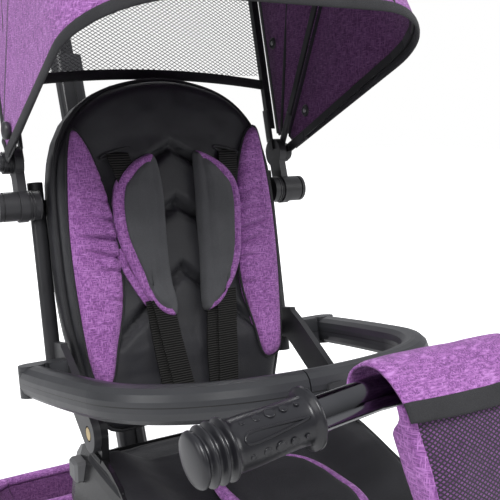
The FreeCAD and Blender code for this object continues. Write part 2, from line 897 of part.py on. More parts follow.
# Bag: a flap over the bar and a tapered pouch in front of the column.
flap_in = s.clamp_radius + s.bag_flap_gap
flap_out = flap_in + s.bag_flap_wall
tail_in = s.stem_base_radius + s.bag_flap_gap
bag_back = -(s.stem_base_radius + s.bag_flap_gap)
bag_low = bar_level - s.bag_height
bag = Moulding("bag", steer)
bag.pad(bag.sketch("YZ", [
    (tail_in, bar_level - s.bag_flap_tail), (flap_in, bar_level), arc(flap_in, -1),
    (0, bar_level + flap_in), arc(flap_in, -1), (-flap_in, bar_level),
    (bag_back, bar_level - s.clamp_radius), (bag_back, bag_low),
    (bag_back - s.bag_depth_bottom, bag_low), (bag_back - s.bag_depth_top, bar_level),
    (-flap_out / 3, bar_level + flap_out * 0.943), arc(flap_out * 1.001, 1),
    (flap_out, bar_level), (tail_in + s.bag_flap_wall, bar_level - s.bag_flap_tail),
]), s.bag_half_width * 2)
for side in (1, -1):
    bag.pocket(bag.sketch("XZ", [
        (s.bag_half_width * side, bar_level - s.bag_flap_tail),
        (s.bag_half_width * side * 1.2, bag_low - s.overrun),
        (s.bag_bottom_half * side, bag_low - s.overrun),
    ]), s.bag_height * 2)
node("handlebar_bag", bag.body)

# Frame: two beams that fold about one pin under their joint.
def bar_along_y(name, frame, at, width, height, radius, length):
    """A rounded bar that runs along Y and stands on the given point."""
    body = Moulding(name, frame, at)
    body.pad(body.sketch("XZ", rounded(-width / 2, width / 2, 0.0, height, radius)), length, "One side", True)
    return body.body


# The basket's waist: its level, how far its wall tucks in there, and the shift to the front.
WAIST_LEVEL_SHARE = 0.45
WAIST_TUCK_SHARE = 0.35
TUB_SHIFT_SHARE = 0.15


def post(name, frame, at, width, depth, radius, height):
    """A rounded post that stands on the given point of its frame."""
    body = Moulding(name, frame, at)
    body.pad(body.sketch("XY", rounded(-width / 2, width / 2, -depth / 2, depth / 2, radius)),
             height, "One side")
    return body.body


beam_lean = angle_of(s.hinge_z - s.rear_wheel_radius, s.rear_axle_y - s.hinge_y)
rear_beam = Frame(0, s.hinge_y, s.hinge_z, beam_lean)
pin = Frame(0, s.hinge_y, s.hinge_z)
pole = Frame(0, s.pole_y - (s.pole_z - s.pole_base_z) * tangent(s.pole_lean), s.pole_base_z, s.pole_lean)

tongue_half = s.hinge_tongue / 2
ear_inner = tongue_half + s.side_gap
ear_outer = ear_inner + s.hinge_ear
tube_half = s.rear_wheel_offset - s.rear_hub_length / 2 - s.side_gap
plate_low = s.seat_bottom_z - s.seat_plate_thickness - s.running_gap
post_foot = s.hinge_z


def hinge_ear(x):
    return fuse(
        cylinder(s.hinge_round, s.hinge_ear, rear_beam, (x, 0, 0), ALONG_X),
        box(s.hinge_ear, s.hinge_relief + s.hinge_round, s.hinge_rise + s.hinge_round * 0.75, rear_beam,
            (x, 0, -s.hinge_round * 0.75)),
    )


brake_low = s.brake_x - s.brake_width / 2 - s.side_gap
brake_high = s.brake_x + s.brake_width / 2 + s.side_gap


def brake_ear(x):
    return fuse(
        cylinder(s.brake_pin_radius * 2.2, s.brake_ear, ground, (x, s.brake_y, s.brake_z), ALONG_X),
        box(s.brake_ear, s.brake_pin_radius * 4.4, s.brake_z - s.rear_wheel_radius, ground,
            (x, s.brake_y - s.brake_pin_radius * 2.2, s.rear_wheel_radius)),
    )


def basket_arm(x):
    """An arm from the axle tube to just short of the leaning front wall of the basket."""
    top = s.rear_wheel_radius + s.axle_tube_radius / 2
    waist_drop = (s.basket_rim_z - s.basket_bottom_z) * (1 - WAIST_LEVEL_SHARE)
    wall_y = s.basket_taper * (WAIST_TUCK_SHARE * TUB_SHIFT_SHARE) * (s.basket_rim_z - top) / waist_drop
    reach = s.basket_front_y + wall_y - s.side_gap - s.rear_axle_y
    return box(s.axle_tube_radius, reach, s.axle_tube_radius, ground,
               (x - s.axle_tube_radius / 2, s.rear_axle_y, s.rear_wheel_radius - s.axle_tube_radius / 2))


socket_width = s.pole_width + s.pole_socket_wall * 2
socket_depth = s.pole_depth + s.pole_socket_wall * 2
lever_x = ear_outer + s.side_gap
lever_pin_end = lever_x + s.lever_thickness + s.side_gap
bolt_cap = s.lever_pin_radius / 2
rear_frame = cut(
    fuse(
        cylinder(s.axle_tube_radius, tube_half * 2, rear_axle, (-tube_half, 0, 0), ALONG_X),
        bar_along_y("rear_beam", rear_beam, (0, s.hinge_relief, s.beam_rise), s.beam_width,
                    s.hinge_rise, s.beam_round, s.rear_axle_y - s.hinge_y - s.hinge_relief),
        hinge_ear(ear_inner), hinge_ear(-ear_outer),
        post("seat_post", ground, (0, s.seat_post_y + s.seat_post_length / 2, post_foot),
             s.seat_post_width, s.seat_post_length, s.beam_round / 2, plate_low - post_foot),
        post("seat_plate", ground, (0, s.seat_post_y + s.seat_post_length / 2, plate_low),
             s.seat_plate_half * 2, s.seat_plate_length, s.beam_round, s.seat_plate_thickness),
        post("pole_socket", pole, (0, 0, -s.pole_socket_wall), socket_width, socket_depth,
             s.pole_round + s.pole_socket_wall, s.pole_socket_height),
        brake_ear(brake_low - s.brake_ear), brake_ear(brake_high),
        cylinder(s.brake_pin_radius, brake_high - brake_low, ground,
                 (brake_low, s.brake_y, s.brake_z), ALONG_X),
        basket_arm(s.basket_half * 0.75), basket_arm(-s.basket_half * 0.75),
        cylinder(s.lever_pin_radius, lever_pin_end - ear_inner, ground,
                 (ear_inner, s.lever_pivot_y, s.lever_pivot_z), ALONG_X),
        cylinder(s.lever_pin_radius * 1.75, bolt_cap, ground,
                 (lever_pin_end, s.lever_pivot_y, s.lever_pivot_z), ALONG_X),
    ),
    cylinder(s.rear_axle_radius, axle_half * 2, rear_axle, (-axle_half, 0, 0), ALONG_X),
    cylinder(s.hinge_pin_radius, ear_outer * 2, pin, (-ear_outer, 0, 0), ALONG_X),
    post("pole_room", pole, (0, 0, 0), s.pole_width, s.pole_depth, s.pole_round, s.pole_socket_height * 2),
)
node("rear_frame", rear_frame)

pin_cap = s.hinge_pin_radius / 2
node("hinge_pin", fuse(
    cylinder(s.hinge_pin_radius, ear_outer * 2 + pin_cap, pin, (-ear_outer, 0, 0), ALONG_X),
    cylinder(s.hinge_pin_radius * 1.8, pin_cap, pin, (-ear_outer - pin_cap, 0, 0), ALONG_X),
))

lever_run = s.lever_length - s.lever_width
lever = Frame(0, s.lever_pivot_y, s.lever_pivot_z, beam_lean)
node("fold_lever", cut(
    fuse(
        cylinder(s.lever_width / 2, s.lever_thickness, lever, (lever_x, 0, 0), ALONG_X),
        cylinder(s.lever_width / 2, s.lever_thickness * 2, lever, (lever_x, lever_run, 0), ALONG_X),
        box(s.lever_thickness, lever_run, s.lever_width, lever, (lever_x, 0, -s.lever_width / 2)),
    ),
    cylinder(s.lever_pin_radius + s.running_gap, s.lever_thickness * 2, lever, (lever_x, 0, 0), ALONG_X),
))


def flat(points):
    """Corner points in the YZ plane."""
    return [V(0, num(y), num(z)) for y, z in points]


def swept(path, section):
    """A section drawn square to the start of a path and carried along it."""
    return Part.Wire(path).makePipeShell([section], True, False)


def round_section(at, across, up, width, height, radius):
    """A rounded rectangle around a point; its sides run along two directions."""
    a, b = width / 2, height / 2
    turn = [(a, -b + radius), (a, b - radius), (a - radius, b), (-a + radius, b),
            (-a, b - radius), (-a, -b + radius), (-a + radius, -b), (a - radius, -b)]
    middles = [(a - radius, b - radius), (-a + radius, b - radius),
               (-a + radius, -b + radius), (a - radius, -b + radius)]
    bulge = [(1, 1), (-1, 1), (-1, -1), (1, -1)]
    spot = [at + across * x + up * y for x, y in turn]
    edges = []
    for i in range(4):
        (mx, my), (sx, sy) = middles[i], bulge[i]
        knee = at + across * (mx + sx * radius * math.sqrt(0.5)) + up * (my + sy * radius * math.sqrt(0.5))
        edges.append(Part.LineSegment(spot[2 * i], spot[2 * i + 1]).toShape())
        edges.append(Part.Arc(spot[2 * i + 1], knee, spot[(2 * i + 2) % 8]).toShape())
    return Part.Wire(edges)


def chord_section(at, across, up, width, height, radius, chords=4):
    """A rounded rectangle whose corners are drawn in a few chords, as an even ring."""
    a, b = width / 2 - radius, height / 2 - radius
    spots = []
    for quarter, (x, y) in enumerate(((a, b), (-a, b), (-a, -b), (a, -b))):
        for k in range(chords + 1):
            turn = math.pi / 2 * (quarter + k / chords)
            spots.append(at + across * (x + radius * math.cos(turn)) + up * (y + radius * math.sin(turn)))
    return Part.makePolygon(spots + spots[:1])


def bent(start, knee, end, radius):
    """Two straight runs joined by an arc."""
    a, b = (start - knee).normalize(), (end - knee).normalize()
    half = a.getAngle(b) / 2
    set_back = radius / math.tan(half)
    first, last = knee + a * set_back, knee + b * set_back
    middle = knee + (a + b).normalize() * (radius / math.sin(half) - radius)
    return [Part.LineSegment(start, first).toShape(), Part.Arc(first, middle, last).toShape(),
            Part.LineSegment(last, end).toShape()]


head_middle = steer.vector(0, 0, (head_low + head_high) / 2)
beam_end_y = s.hinge_y - s.hinge_round - 1
beam_middle = s.hinge_z + s.beam_rise + s.hinge_rise / 2
beam_start = V(0, num(beam_end_y), num(beam_middle))
beam_path = bent(beam_start, V(0, num(s.beam_low_y), num(s.beam_low_z)), head_middle, num(s.beam_bend))
run = (V(0, num(s.beam_low_y), num(s.beam_low_z)) - beam_start).normalize()
section = round_section(beam_start, V(1, 0, 0), V(1, 0, 0).cross(run) * -1, num(s.beam_width),
                        num(s.hinge_rise), num(s.beam_round))
rest_end = s.footrest_width / 2 + s.side_gap
ear_depth = s.footrest_pin_radius * 1.5
rest_x = s.footrest_pin_offset + s.footrest_pin_radius * 2


def rest_ear(y):
    return box(rest_x * 2, ear_depth, s.footrest_pin_radius * 4, ground,
               (-rest_x, y, s.footrest_z - s.footrest_pin_radius * 2))


rest_low = s.footrest_y - rest_end - ear_depth
front_frame = cut(
    fuse(
        feature(swept(beam_path, section)),
        cylinder(s.head_tube_radius, s.head_tube_length, steer, (0, 0, head_low)),
        cylinder(s.hinge_round, s.hinge_tongue, pin, (-tongue_half, 0, 0), ALONG_X),
        box(s.hinge_tongue, s.hinge_relief + s.hinge_round, s.hinge_rise + s.beam_rise, pin,
            (-tongue_half, -s.hinge_relief - s.hinge_round, 0)),
        box(s.footrest_block * 2, (rest_end + ear_depth) * 2, s.footrest_block * 1.8, ground,
            (-s.footrest_block, rest_low, s.footrest_z - s.footrest_pin_radius * 2)),
        rest_ear(rest_low), rest_ear(s.footrest_y + rest_end),
        cylinder(s.footrest_pin_radius, (rest_end + ear_depth) * 2, ground,
                 (s.footrest_pin_offset, rest_low, s.footrest_z), ALONG_Y),
        cylinder(s.footrest_pin_radius, (rest_end + ear_depth) * 2, ground,
                 (-s.footrest_pin_offset, rest_low, s.footrest_z), ALONG_Y),
    ),
    cylinder(s.steerer_radius + s.running_gap, s.head_tube_length * 1.5, steer, (0, 0, crown_low)),
    cylinder(s.hinge_pin_radius + s.running_gap, s.hinge_tongue * 2, pin, (-s.hinge_tongue, 0, 0), ALONG_X),
)
node("front_frame", front_frame)


def footrest(name):
    """A ribbed plate with a knuckle round its pin."""
    body = Moulding(name, ground, (s.footrest_pin_offset, s.footrest_y, s.footrest_z))
    knuckle = s.footrest_pin_radius * 2
    half = s.footrest_thickness / 2
    body.pad(body.sketch("XZ", [
        (knuckle * 0.75, -half), (s.footrest_length - half, -half), arc(half * 1.001, -1),
        (s.footrest_length - half, half), (knuckle * 0.75, half), arc(knuckle, 1),
    ]), s.footrest_width)
    rib = s.footrest_rib_width
    groove = body.pocket(body.sketch("XZ", [
        (rib * 3, half - s.footrest_rib_depth), (rib * 4, half - s.footrest_rib_depth),
        (rib * 4, half * 2), (rib * 3, half * 2),
    ]), s.footrest_width - rib * 2)
    body.row(groove, 6, rib * 12.5)
    return body.body


rest_knuckle = cylinder(s.footrest_pin_radius * 2, s.footrest_width, ground,
                        (s.footrest_pin_offset, s.footrest_y - s.footrest_width / 2, s.footrest_z), ALONG_Y)
rest_left = cut(
    fuse(footrest("footrest_plate"), rest_knuckle),
    cylinder(s.footrest_pin_radius + s.running_gap, s.footrest_width + s.overrun * 2, ground,
             (s.footrest_pin_offset, s.footrest_y - s.footrest_width / 2 - s.overrun, s.footrest_z), ALONG_Y),
)
node("footrest_left", rest_left)
node("footrest_right", mirrored(rest_left))

# Push pole: a grooved outer tube, its collar, and the tube that telescopes inside it.
pole_length = (s.pole_top_z - s.pole_base_z) / cosine(s.pole_lean)
tube_top = (s.pole_tube_top_z - s.pole_base_z) / cosine(s.pole_lean)
bore_width = s.pole_tube_width + s.pole_tube_gap * 2
bore_depth = s.pole_tube_depth + s.pole_tube_gap * 2
outer = Moulding("pole_outer", pole)
outer.pad(outer.sketch("XY", rounded(-s.pole_width / 2, s.pole_width / 2, -s.pole_depth / 2,
                                     s.pole_depth / 2, s.pole_round)), pole_length, "One side")
outer.pocket(outer.sketch("XY", rounded(-bore_width / 2, bore_width / 2, -bore_depth / 2,
                                        bore_depth / 2, s.pole_round)), pole_length * 2)
channel = s.pole_depth / 2 - s.pole_channel_depth
for face in (1, -1):
    outer.pocket(outer.sketch("XY", [
        (-s.pole_channel_width / 2, channel * face), (s.pole_channel_width / 2, channel * face),
        (s.pole_channel_width / 2, s.pole_depth * face), (-s.pole_channel_width / 2, s.pole_depth * face),
    ]), pole_length * 2)
node("push_pole", outer.body)

collar_foot = pole_length - s.pole_collar_height
collar_width = s.pole_width + s.pole_collar_wall * 2
collar_depth = s.pole_depth + s.pole_collar_wall * 2
collar_round = s.pole_round + s.pole_collar_wall
boss_z = pole_length - s.pole_collar_height / 2
boss_y = s.pole_depth / 2 + s.pole_boss_depth
bore_floor = boss_y - s.pole_boss_depth + s.pole_button_travel / 3
node("pole_collar", cut(
    fuse(
        post("collar_block", pole, (0, 0, collar_foot), collar_width, collar_depth, collar_round,
             s.pole_collar_height + s.pole_collar_wall),
        box(s.pole_boss, boss_y, s.pole_boss, pole, (-s.pole_boss / 2, 0, boss_z - s.pole_boss / 2)),
    ),
    post("collar_room", pole, (0, 0, collar_foot - s.overrun), s.pole_width, s.pole_depth, s.pole_round,
         s.pole_collar_height + s.overrun),
    post("collar_mouth", pole, (0, 0, collar_foot), bore_width, bore_depth, s.pole_round,
         s.pole_collar_height * 2),
    cylinder(s.pole_button_radius + s.running_gap, s.pole_boss_depth, pole,
             (0, bore_floor, boss_z), ALONG_Y),
))
button_foot = bore_floor + s.pole_button_travel * 1.2
node("pole_button", cylinder(s.pole_button_radius, boss_y + s.pole_button_height - button_foot,
                             pole, (0, button_foot, boss_z), ALONG_Y))

tube_foot = pole_length - s.pole_tube_inside
inner = Moulding("pole_inner", pole, (0, 0, tube_foot))
inner.pad(inner.sketch("XY", rounded(-s.pole_tube_width / 2, s.pole_tube_width / 2, -s.pole_tube_depth / 2,
                                     s.pole_tube_depth / 2, s.pole_round - s.pole_tube_gap)),
          tube_top - tube_foot, "One side")
wall = s.pole_tube_wall
inner.pocket(inner.sketch("XY", rounded(
    wall - s.pole_tube_width / 2, s.pole_tube_width / 2 - wall, wall - s.pole_tube_depth / 2,
    s.pole_tube_depth / 2 - wall, s.pole_round - s.pole_tube_gap - wall)), (tube_top - tube_foot) * 1.9)
node("push_pole_tube", inner.body)

block_low = tube_top - s.handle_block / 2
node("push_handle", cut(
    fuse(
        cylinder(s.handle_radius, s.handle_block * 1.4, pole, (-s.handle_block * 0.7, 0, tube_top), ALONG_X),
        post("handle_block", pole, (0, 0, block_low), s.handle_block, s.handle_block_depth,
             s.pole_round, s.handle_block),
    ),
    post("handle_room", pole, (0, 0, tube_foot), s.pole_tube_width, s.pole_tube_depth,
         s.pole_round - s.pole_tube_gap, tube_top - tube_foot),
))


def handle_grip(name, sign):
    body = Moulding(name, pole, (s.handle_block * 0.7 * sign, 0, tube_top), ALONG_X if sign > 0 else FLIPPED)
    length = s.handle_half - s.handle_block * 0.7
    body.revolve(body.sketch("XZ", [
        (0, 0), (s.handle_radius, 0), (s.handle_radius * 1.15, s.handle_radius / 2),
        (s.handle_radius * 1.15, length - s.handle_radius / 2),
        (s.handle_radius, length - s.handle_radius / 6), (s.handle_radius * 0.7, length), (0, length),
    ]))
    return body.body


node("push_handle_grips", group(handle_grip("handle_left", 1), handle_grip("handle_right", -1)))

# Rear brake pedal, beside the pole and above the axle tube.
brake = Frame(0, s.brake_y, s.brake_z, -s.brake_rest)
node("brake_pedal", cut(
    fuse(
        cylinder(s.brake_pin_radius * 2, s.brake_width, brake, (brake_low + s.side_gap, 0, 0), ALONG_X),
        box(s.brake_width, s.brake_length, s.brake_thickness, brake,
            (brake_low + s.side_gap, 0, -s.brake_thickness / 2)),
        box(s.brake_width, s.brake_thickness, s.brake_thickness / 2, brake,
            (brake_low + s.side_gap, s.brake_length - s.brake_thickness, s.brake_thickness / 2)),
    ),
    cylinder(s.brake_pin_radius + s.running_gap, s.brake_width * 2, brake,
             (brake_low - s.brake_ear, 0, 0), ALONG_X),
))


def n(*values):
    """Sizes as plain numbers, for shapes made with Part's own functions."""
    found = [num(q) for q in values]
    return found[0] if len(found) == 1 else found


def smooth(points):
    """A smooth line through points, drawn as even chords, two to each point."""
    curve = Part.BSplineCurve()
    curve.interpolate(points)
    return Part.makePolygon(curve.toShape().discretize(Number=len(points) * 2)).Edges


def plate(edges, along):
    """A closed outline given thickness."""
    return Part.Face(Part.Wire(edges)).extrude(along)


def closed(points):
    return Part.makePolygon(points + points[:1]).Edges


# Seat: a swelling bucket, its cushion, and the crotch pad over the front edge.
def seat_inset(z):
    """How far the bucket's wall is drawn in at a height: round below, easing in above."""
    bottom, belly, top = n(s.seat_bottom_z, s.seat_belly_z, s.seat_side_rim_z)
    if z < belly:
        return n(s.seat_bottom_inset) * ((belly - z) / (belly - bottom)) ** 2
    return n(s.seat_top_inset) * max(0, (z - belly) / (top - belly)) ** 1.5


def bucket(start, wall):
    x, y0, y1, step = n(s.seat_half, s.seat_front_y, s.seat_back_y, s.seat_level)
    wires = []
    level = start
    while len(wires) < 2 or level < n(s.seat_side_rim_z) + step:
        edge = seat_inset(level) + wall
        wires.append(chord_section(V(0, (y0 + y1) / 2, level), V(1, 0, 0), V(0, 1, 0), (x - edge) * 2,
                                   y1 - y0 - edge * 2, n(s.seat_round) - edge / 2))
        level += step * (0.8 if level < n(s.seat_belly_z) else 1.6)
    return Part.makeLoft(wires, True, True)


def above(rows, width, top):
    """Everything over a smooth line drawn in the YZ plane."""
    points = [V(-width, y, z) for y, z in rows]
    edges = smooth(points) + Part.makePolygon([
        points[-1], V(-width, points[-1].y, top), V(-width, points[0].y, top), points[0],
    ]).Edges
    return plate(edges, V(width * 2, 0, 0))


def over(rows, length, top):
    """Everything over a smooth line drawn in the XZ plane."""
    points = [V(x, -length, z) for x, z in rows]
    edges = smooth(points) + Part.makePolygon([
        points[-1], V(points[-1].x, -length, top), V(points[0].x, -length, top), points[0],
    ]).Edges
    return plate(edges, V(0, length * 2, 0))


front, back, rim_front, rim_side, rim_back = n(
    s.seat_front_y, s.seat_back_y, s.seat_front_rim_z, s.seat_side_rim_z, s.seat_back_rim_z)
wide = n(s.seat_half) * 1.2
high = rim_side * 1.3
rim_line = [(front * 1.2, rim_front - 8), (front, rim_front - 2), (front * 0.75, rim_front + 8),
            (front * 0.4, rim_side - 6), (front * 0.15, rim_side), (0, rim_side - 4),
            (back * 0.55, rim_back + 12), (back * 0.85, rim_back), (back * 1.4, rim_back - 2)]
ear_y, ear_z, ear_radius = n(s.recline_y, s.recline_z, s.bracket_width / 2)
ear_in, ear_out = n(s.seat_ear_inner, s.bracket_x - s.side_gap)


def seat_ear(sign):
    """A recline ear that stands on a ledge, which reaches from the ear to the bucket's wall."""
    foot, sole = n(s.seat_ear_foot, s.seat_ear_sole)
    half_ear = ear_radius * 0.9
    wall_out = n(s.seat_half) - seat_inset(rim_side - foot)
    ledge_in, ledge_out = min(ear_in, wall_out - n(s.seat_wall)), max(ear_out, wall_out)

    def block(x0, x1, height):
        return Part.makeBox(x1 - x0, half_ear * 2, height,
                            V(x0 if sign > 0 else -x1, ear_y - half_ear, rim_side - foot))

    disc = Part.makeCylinder(half_ear, ear_out - ear_in, V(ear_in if sign > 0 else -ear_out, ear_y, ear_z),
                             V(1, 0, 0))
    ear = disc.fuse(block(ear_in, ear_out, ear_z - rim_side + foot)).fuse(block(ledge_in, ledge_out, sole))
    hole = Part.makeCylinder(n(s.recline_bolt_radius + s.running_gap), ear_out * 2, V(-ear_out, ear_y, ear_z),
                             V(1, 0, 0))
    return ear, hole


seat_foot, floor_z, seat_wall, pad_gap = n(s.seat_bottom_z, s.seat_bottom_z + s.seat_floor, s.seat_wall,
                                           s.seat_pad_gap)
shell = bucket(seat_foot, 0).cut(bucket(floor_z, seat_wall))
shell = shell.cut(above(rim_line, wide, high))
for sign in (1, -1):
    ear, hole = seat_ear(sign)
    shell = shell.fuse(ear).cut(hole)
node("seat_shell", feature(shell))

pad_z, bolster_z = n(s.seat_pad_z, s.seat_bolster_z)
cushion = bucket(floor_z, seat_wall + pad_gap)
cushion = cushion.cut(Part.makeBox(wide * 3, wide * 3, pad_gap, V(-wide * 1.5, -wide * 2, floor_z)))
dish, lift, lip = n(s.pad_dish, s.pad_lift, s.pad_lip)
cushion = cushion.cut(over([(-wide, bolster_z), (-wide * 0.72, bolster_z), (-wide * 0.56, pad_z + dish),
                            (-wide * 0.3, pad_z), (wide * 0.3, pad_z), (wide * 0.56, pad_z + dish),
                            (wide * 0.72, bolster_z), (wide, bolster_z)], n(s.pad_reach), high))
cushion = cushion.cut(above([
    (front * 1.2, rim_front - n(s.pad_front_drop)), (front * 0.97, rim_front - lip),
    (front * 0.86, pad_z + lift), (front * 0.5, bolster_z + lift), (front * 0.1, bolster_z + lift),
    (back * 0.2, pad_z - n(s.pad_hip_sink)),
    (back * 0.8, rim_back - lift), (back * 1.4, rim_back - n(s.pad_tail_drop))], wide, high))
cushion = max(cushion.Solids, key=lambda q: q.Volume)
node("seat_pad", feature(cushion))

crotch_front, crotch_back, crotch_half, thick = n(
    s.crotch_front_y, s.crotch_back_y, s.crotch_half, s.crotch_thickness)
upper = [V(-crotch_half, y, z) for y, z in (
    (crotch_back, pad_z + 5), (crotch_back - 14, pad_z + thick), (crotch_back - 60, pad_z + thick + 4),
    (crotch_front + 44, pad_z + thick), (crotch_front + 12, pad_z - 4), (crotch_front, pad_z - 40))]
under = [V(-crotch_half, crotch_front + 12, pad_z - 44), V(-crotch_half, crotch_front + 40, pad_z - 30),
         V(-crotch_half, crotch_back, pad_z - 20)]
crotch = plate(smooth(upper) + Part.makePolygon([upper[-1]] + under + upper[:1]).Edges,
               V(crotch_half * 2, 0, 0))
crotch = crotch.cut(cushion).cut(shell)
node("crotch_pad", feature(max(crotch.Solids, key=lambda q: q.Volume)))

buckle = post("buckle_block", ground, (0, s.seat_y - s.buckle_height * 2, s.seat_pad_z - s.buckle_sink),
              s.buckle_width, s.buckle_height, s.buckle_thickness / 2, s.buckle_thickness)
node("harness_buckle", cut(buckle, feature(cushion), feature(crotch)))

catch_y, catch_z = n(s.recline_y + s.bracket_width / 2, s.seat_front_rim_z + s.seat_wall)
catch_size = n(s.bracket_width) * 0.6
catch = Part.makeBox(catch_size, catch_size, catch_size, V(-n(s.seat_half) - 4, catch_y, catch_z - 6))
catch = catch.makeChamfer(n(s.catch_bevel), catch.Edges).cut(bucket(seat_foot, 0))
node("recline_catch", feature(max(catch.Solids, key=lambda q: -q.BoundBox.XMin)))

# Backrest: a padded shell that tilts with the seat's own side brackets.
rest = Frame(0, s.seat_y, s.seat_z, s.backrest_tilt)
SIDE = [(106, 0), (124, 40), (137, 90), (145, 150), (147, 220), (145, 290), (136, 335), (117, 371),
        (88, 396), (48, 412), (0, 418)]


def rest_outline(grow, y, foot=0):
    """The round-topped outline of the backrest, at one depth and standing on one level."""
    high = SIDE[-1][1]
    half = [V(x + grow * (x > 0), y, foot + z * (high + grow - foot) / high) for x, z in SIDE]
    other = [V(-p.x, p.y, p.z) for p in half[-2::-1]]
    return smooth(half + other) + [Part.LineSegment(other[-1], half[0]).toShape()]


shell_front, shell_depth, shell_wall, shell_edge = n(
    s.backrest_shell_front, s.backrest_shell_depth, s.backrest_shell_wall, s.backrest_shell_edge)
shell_depth -= n(s.backrest_strap_seat)
hull = plate(rest_outline(shell_edge, shell_front), V(0, shell_depth, 0))
inner = rest_outline(shell_edge - shell_wall, shell_front + shell_wall, shell_wall)
hollow = plate(inner, V(0, shell_depth, 0))
node("backrest_shell", feature(hull.cut(hollow), rest))

crown = n(s.backrest_pad_crown)
crown_radius = n(s.backrest_crown_radius)


def crowned(lift):
    """The space behind the bowed front of the pad, raised by a thickness."""
    return Part.makeCylinder(crown_radius, n(s.backrest_crown_length),
                             V(0, shell_front - crown - lift + crown_radius, n(s.backrest_crown_start)))


lip, lip_depth = n(s.backrest_lip, s.backrest_lip_depth)
pad_body = Part.makeLoft([
    Part.Wire(rest_outline(-inset, shell_front - depth, inset))
    for inset, depth in ((0, 0), (0, lip_depth), (lip, lip_depth * 2), (lip * 4, crown * 2))
], True, True).common(crowned(0))
node("backrest_pad", feature(pad_body, rest))


def laid(edges, lift):
    """A flat outline laid on the front of the pad."""
    return plate(edges, V(0, -crown * 3, 0)).common(crowned(lift)).cut(pad_body)


lift = n(s.panel_thickness)
panels, shoulders, webbing = [], [], []
for sign in (1, -1):
    rim_edge = [(104, 55), (121, 75), (132, 110), (139, 150), (141, 220), (139, 290), (131, 330), (116, 357)]
    inner_edge = [(116, 357), (99, 318), (88, 262), (84, 205), (87, 140), (94, 92), (104, 55)]
    edges = (smooth([V(x * sign, shell_front, z) for x, z in rim_edge])
             + smooth([V(x * sign, shell_front, z) for x, z in inner_edge]))
    panels.append(laid(edges, lift))
    low, high_end, x0, x1, half, depth = n(s.shoulder_bottom, s.shoulder_top, s.shoulder_bottom_x,
                                           s.shoulder_top_x, s.shoulder_half, s.shoulder_thickness)
    foot, head = V(x0 * sign, shell_front, low), V(x1 * sign, shell_front, high_end)
    way = (head - foot).normalize()
    square = V(way.z, 0, -way.x)
    strap_pad = round_section((foot + head) * 0.5, square, way, half * 2, (head - foot).Length, half * 0.6)
    shoulders.append(laid(strap_pad.Edges, depth))
    web_half, web_thick = n(s.webbing_width / 2, s.webbing_thickness)
    tail = V(x0 * sign * 0.7, shell_front, 24)
    pull = (foot - tail).normalize()
    flank = V(pull.z, 0, -pull.x)
    tip = head + way * 24
    below = laid(closed([tail - flank * web_half, tail + flank * web_half,
                         foot + flank * web_half, foot - flank * web_half]), web_thick)
    upper_web = laid(closed([head - square * web_half, head + square * web_half,
                             tip + square * web_half, tip - square * web_half]), web_thick)
    both = below.fuse(upper_web).cut(laid(strap_pad.Edges, depth))
    webbing.append(both)
node("side_panels", feature(Part.makeCompound(panels), rest))
node("shoulder_pads", feature(Part.makeCompound(shoulders), rest))
node("harness_webbing", feature(Part.makeCompound([q for w in webbing for q in w.Solids]), rest))

tube_x, tube_y, tube_r, tube_low, tube_high = (
    s.backrest_tube_x, s.backrest_tube_depth, s.backrest_tube_radius, s.backrest_tube_bottom,
    s.backrest_tube_top)


def rest_tube(sign):
    return cylinder(tube_r, tube_high - tube_low, rest, (tube_x * sign, tube_y, tube_low))


strap_y = s.backrest_shell_front + s.backrest_shell_depth - s.backrest_strap_seat


def rest_strap(z):
    return box(tube_x * 2, s.backrest_strap_thickness, s.backrest_strap_height, rest, (-tube_x, strap_y, z))


node("backrest_frame", fuse(
    rest_tube(1), rest_tube(-1), rest_strap(tube_low + s.backrest_strap_height),
    rest_strap(tube_high - s.backrest_strap_height * 2),
))

pivot = (s.recline_y - s.seat_y, s.recline_z - s.seat_z)
lean_c, lean_s = cosine(s.backrest_tilt), sine(s.backrest_tilt)


def in_rest(y, z):
    """A side-view point of the tricycle, seen in the backrest's frame."""
    dy, dz = y - s.seat_y, z - s.seat_z
    return (dy * lean_c - dz * lean_s, dy * lean_s + dz * lean_c)


pivot_at = in_rest(s.recline_y, s.recline_z)
joint_at = in_rest(s.bar_y, s.bar_z)
anchor_at = (tube_y - tube_r - s.bracket_width / 2, tube_low + s.backrest_strap_height * 2)


def bracket(sign):
    """A side bracket from the recline pivot, past the bar, to the tube behind."""
    start = s.bracket_x if sign > 0 else -(s.bracket_x + s.bracket_thickness)
    recess = s.bracket_x + s.bracket_thickness - s.recline_recess
    bore_start = s.seat_ear_inner if sign > 0 else -(s.bracket_x + s.bracket_thickness)
    return cut(
        fuse(slot_plate(rest, pivot_at, joint_at, s.bracket_width / 2, start, s.bracket_thickness),
             slot_plate(rest, joint_at, anchor_at, s.bracket_width / 2, start, s.bracket_thickness),
             box(s.bracket_thickness, s.bracket_width, s.bracket_width, rest,
                 (start, tube_y - s.bracket_width, anchor_at[1] - s.bracket_width / 2))),
        box(s.bracket_thickness * 3, s.bracket_width * 2, s.bracket_width * 4, rest,
            (start - s.bracket_thickness, tube_y, anchor_at[1] - s.bracket_width * 2)),
        rest_tube(sign),
        cylinder(s.recline_bolt_radius, s.bracket_width, rest, (bore_start, *pivot_at), ALONG_X),
        cylinder(s.recline_bolt_head * 1.2, s.recline_recess * 2, rest,
                 (recess if sign > 0 else -(recess + s.recline_recess * 2), *pivot_at), ALONG_X),
    )


def recline_bolt(sign):
    recess = s.bracket_x + s.bracket_thickness - s.recline_recess
    return fuse(
        cylinder(s.recline_bolt_radius, recess - s.seat_ear_inner, rest,
                 (s.seat_ear_inner if sign > 0 else -recess, *pivot_at), ALONG_X),
        cylinder(s.recline_bolt_head, s.recline_recess, rest,
                 (recess if sign > 0 else -(recess + s.recline_recess), *pivot_at), ALONG_X),
    )


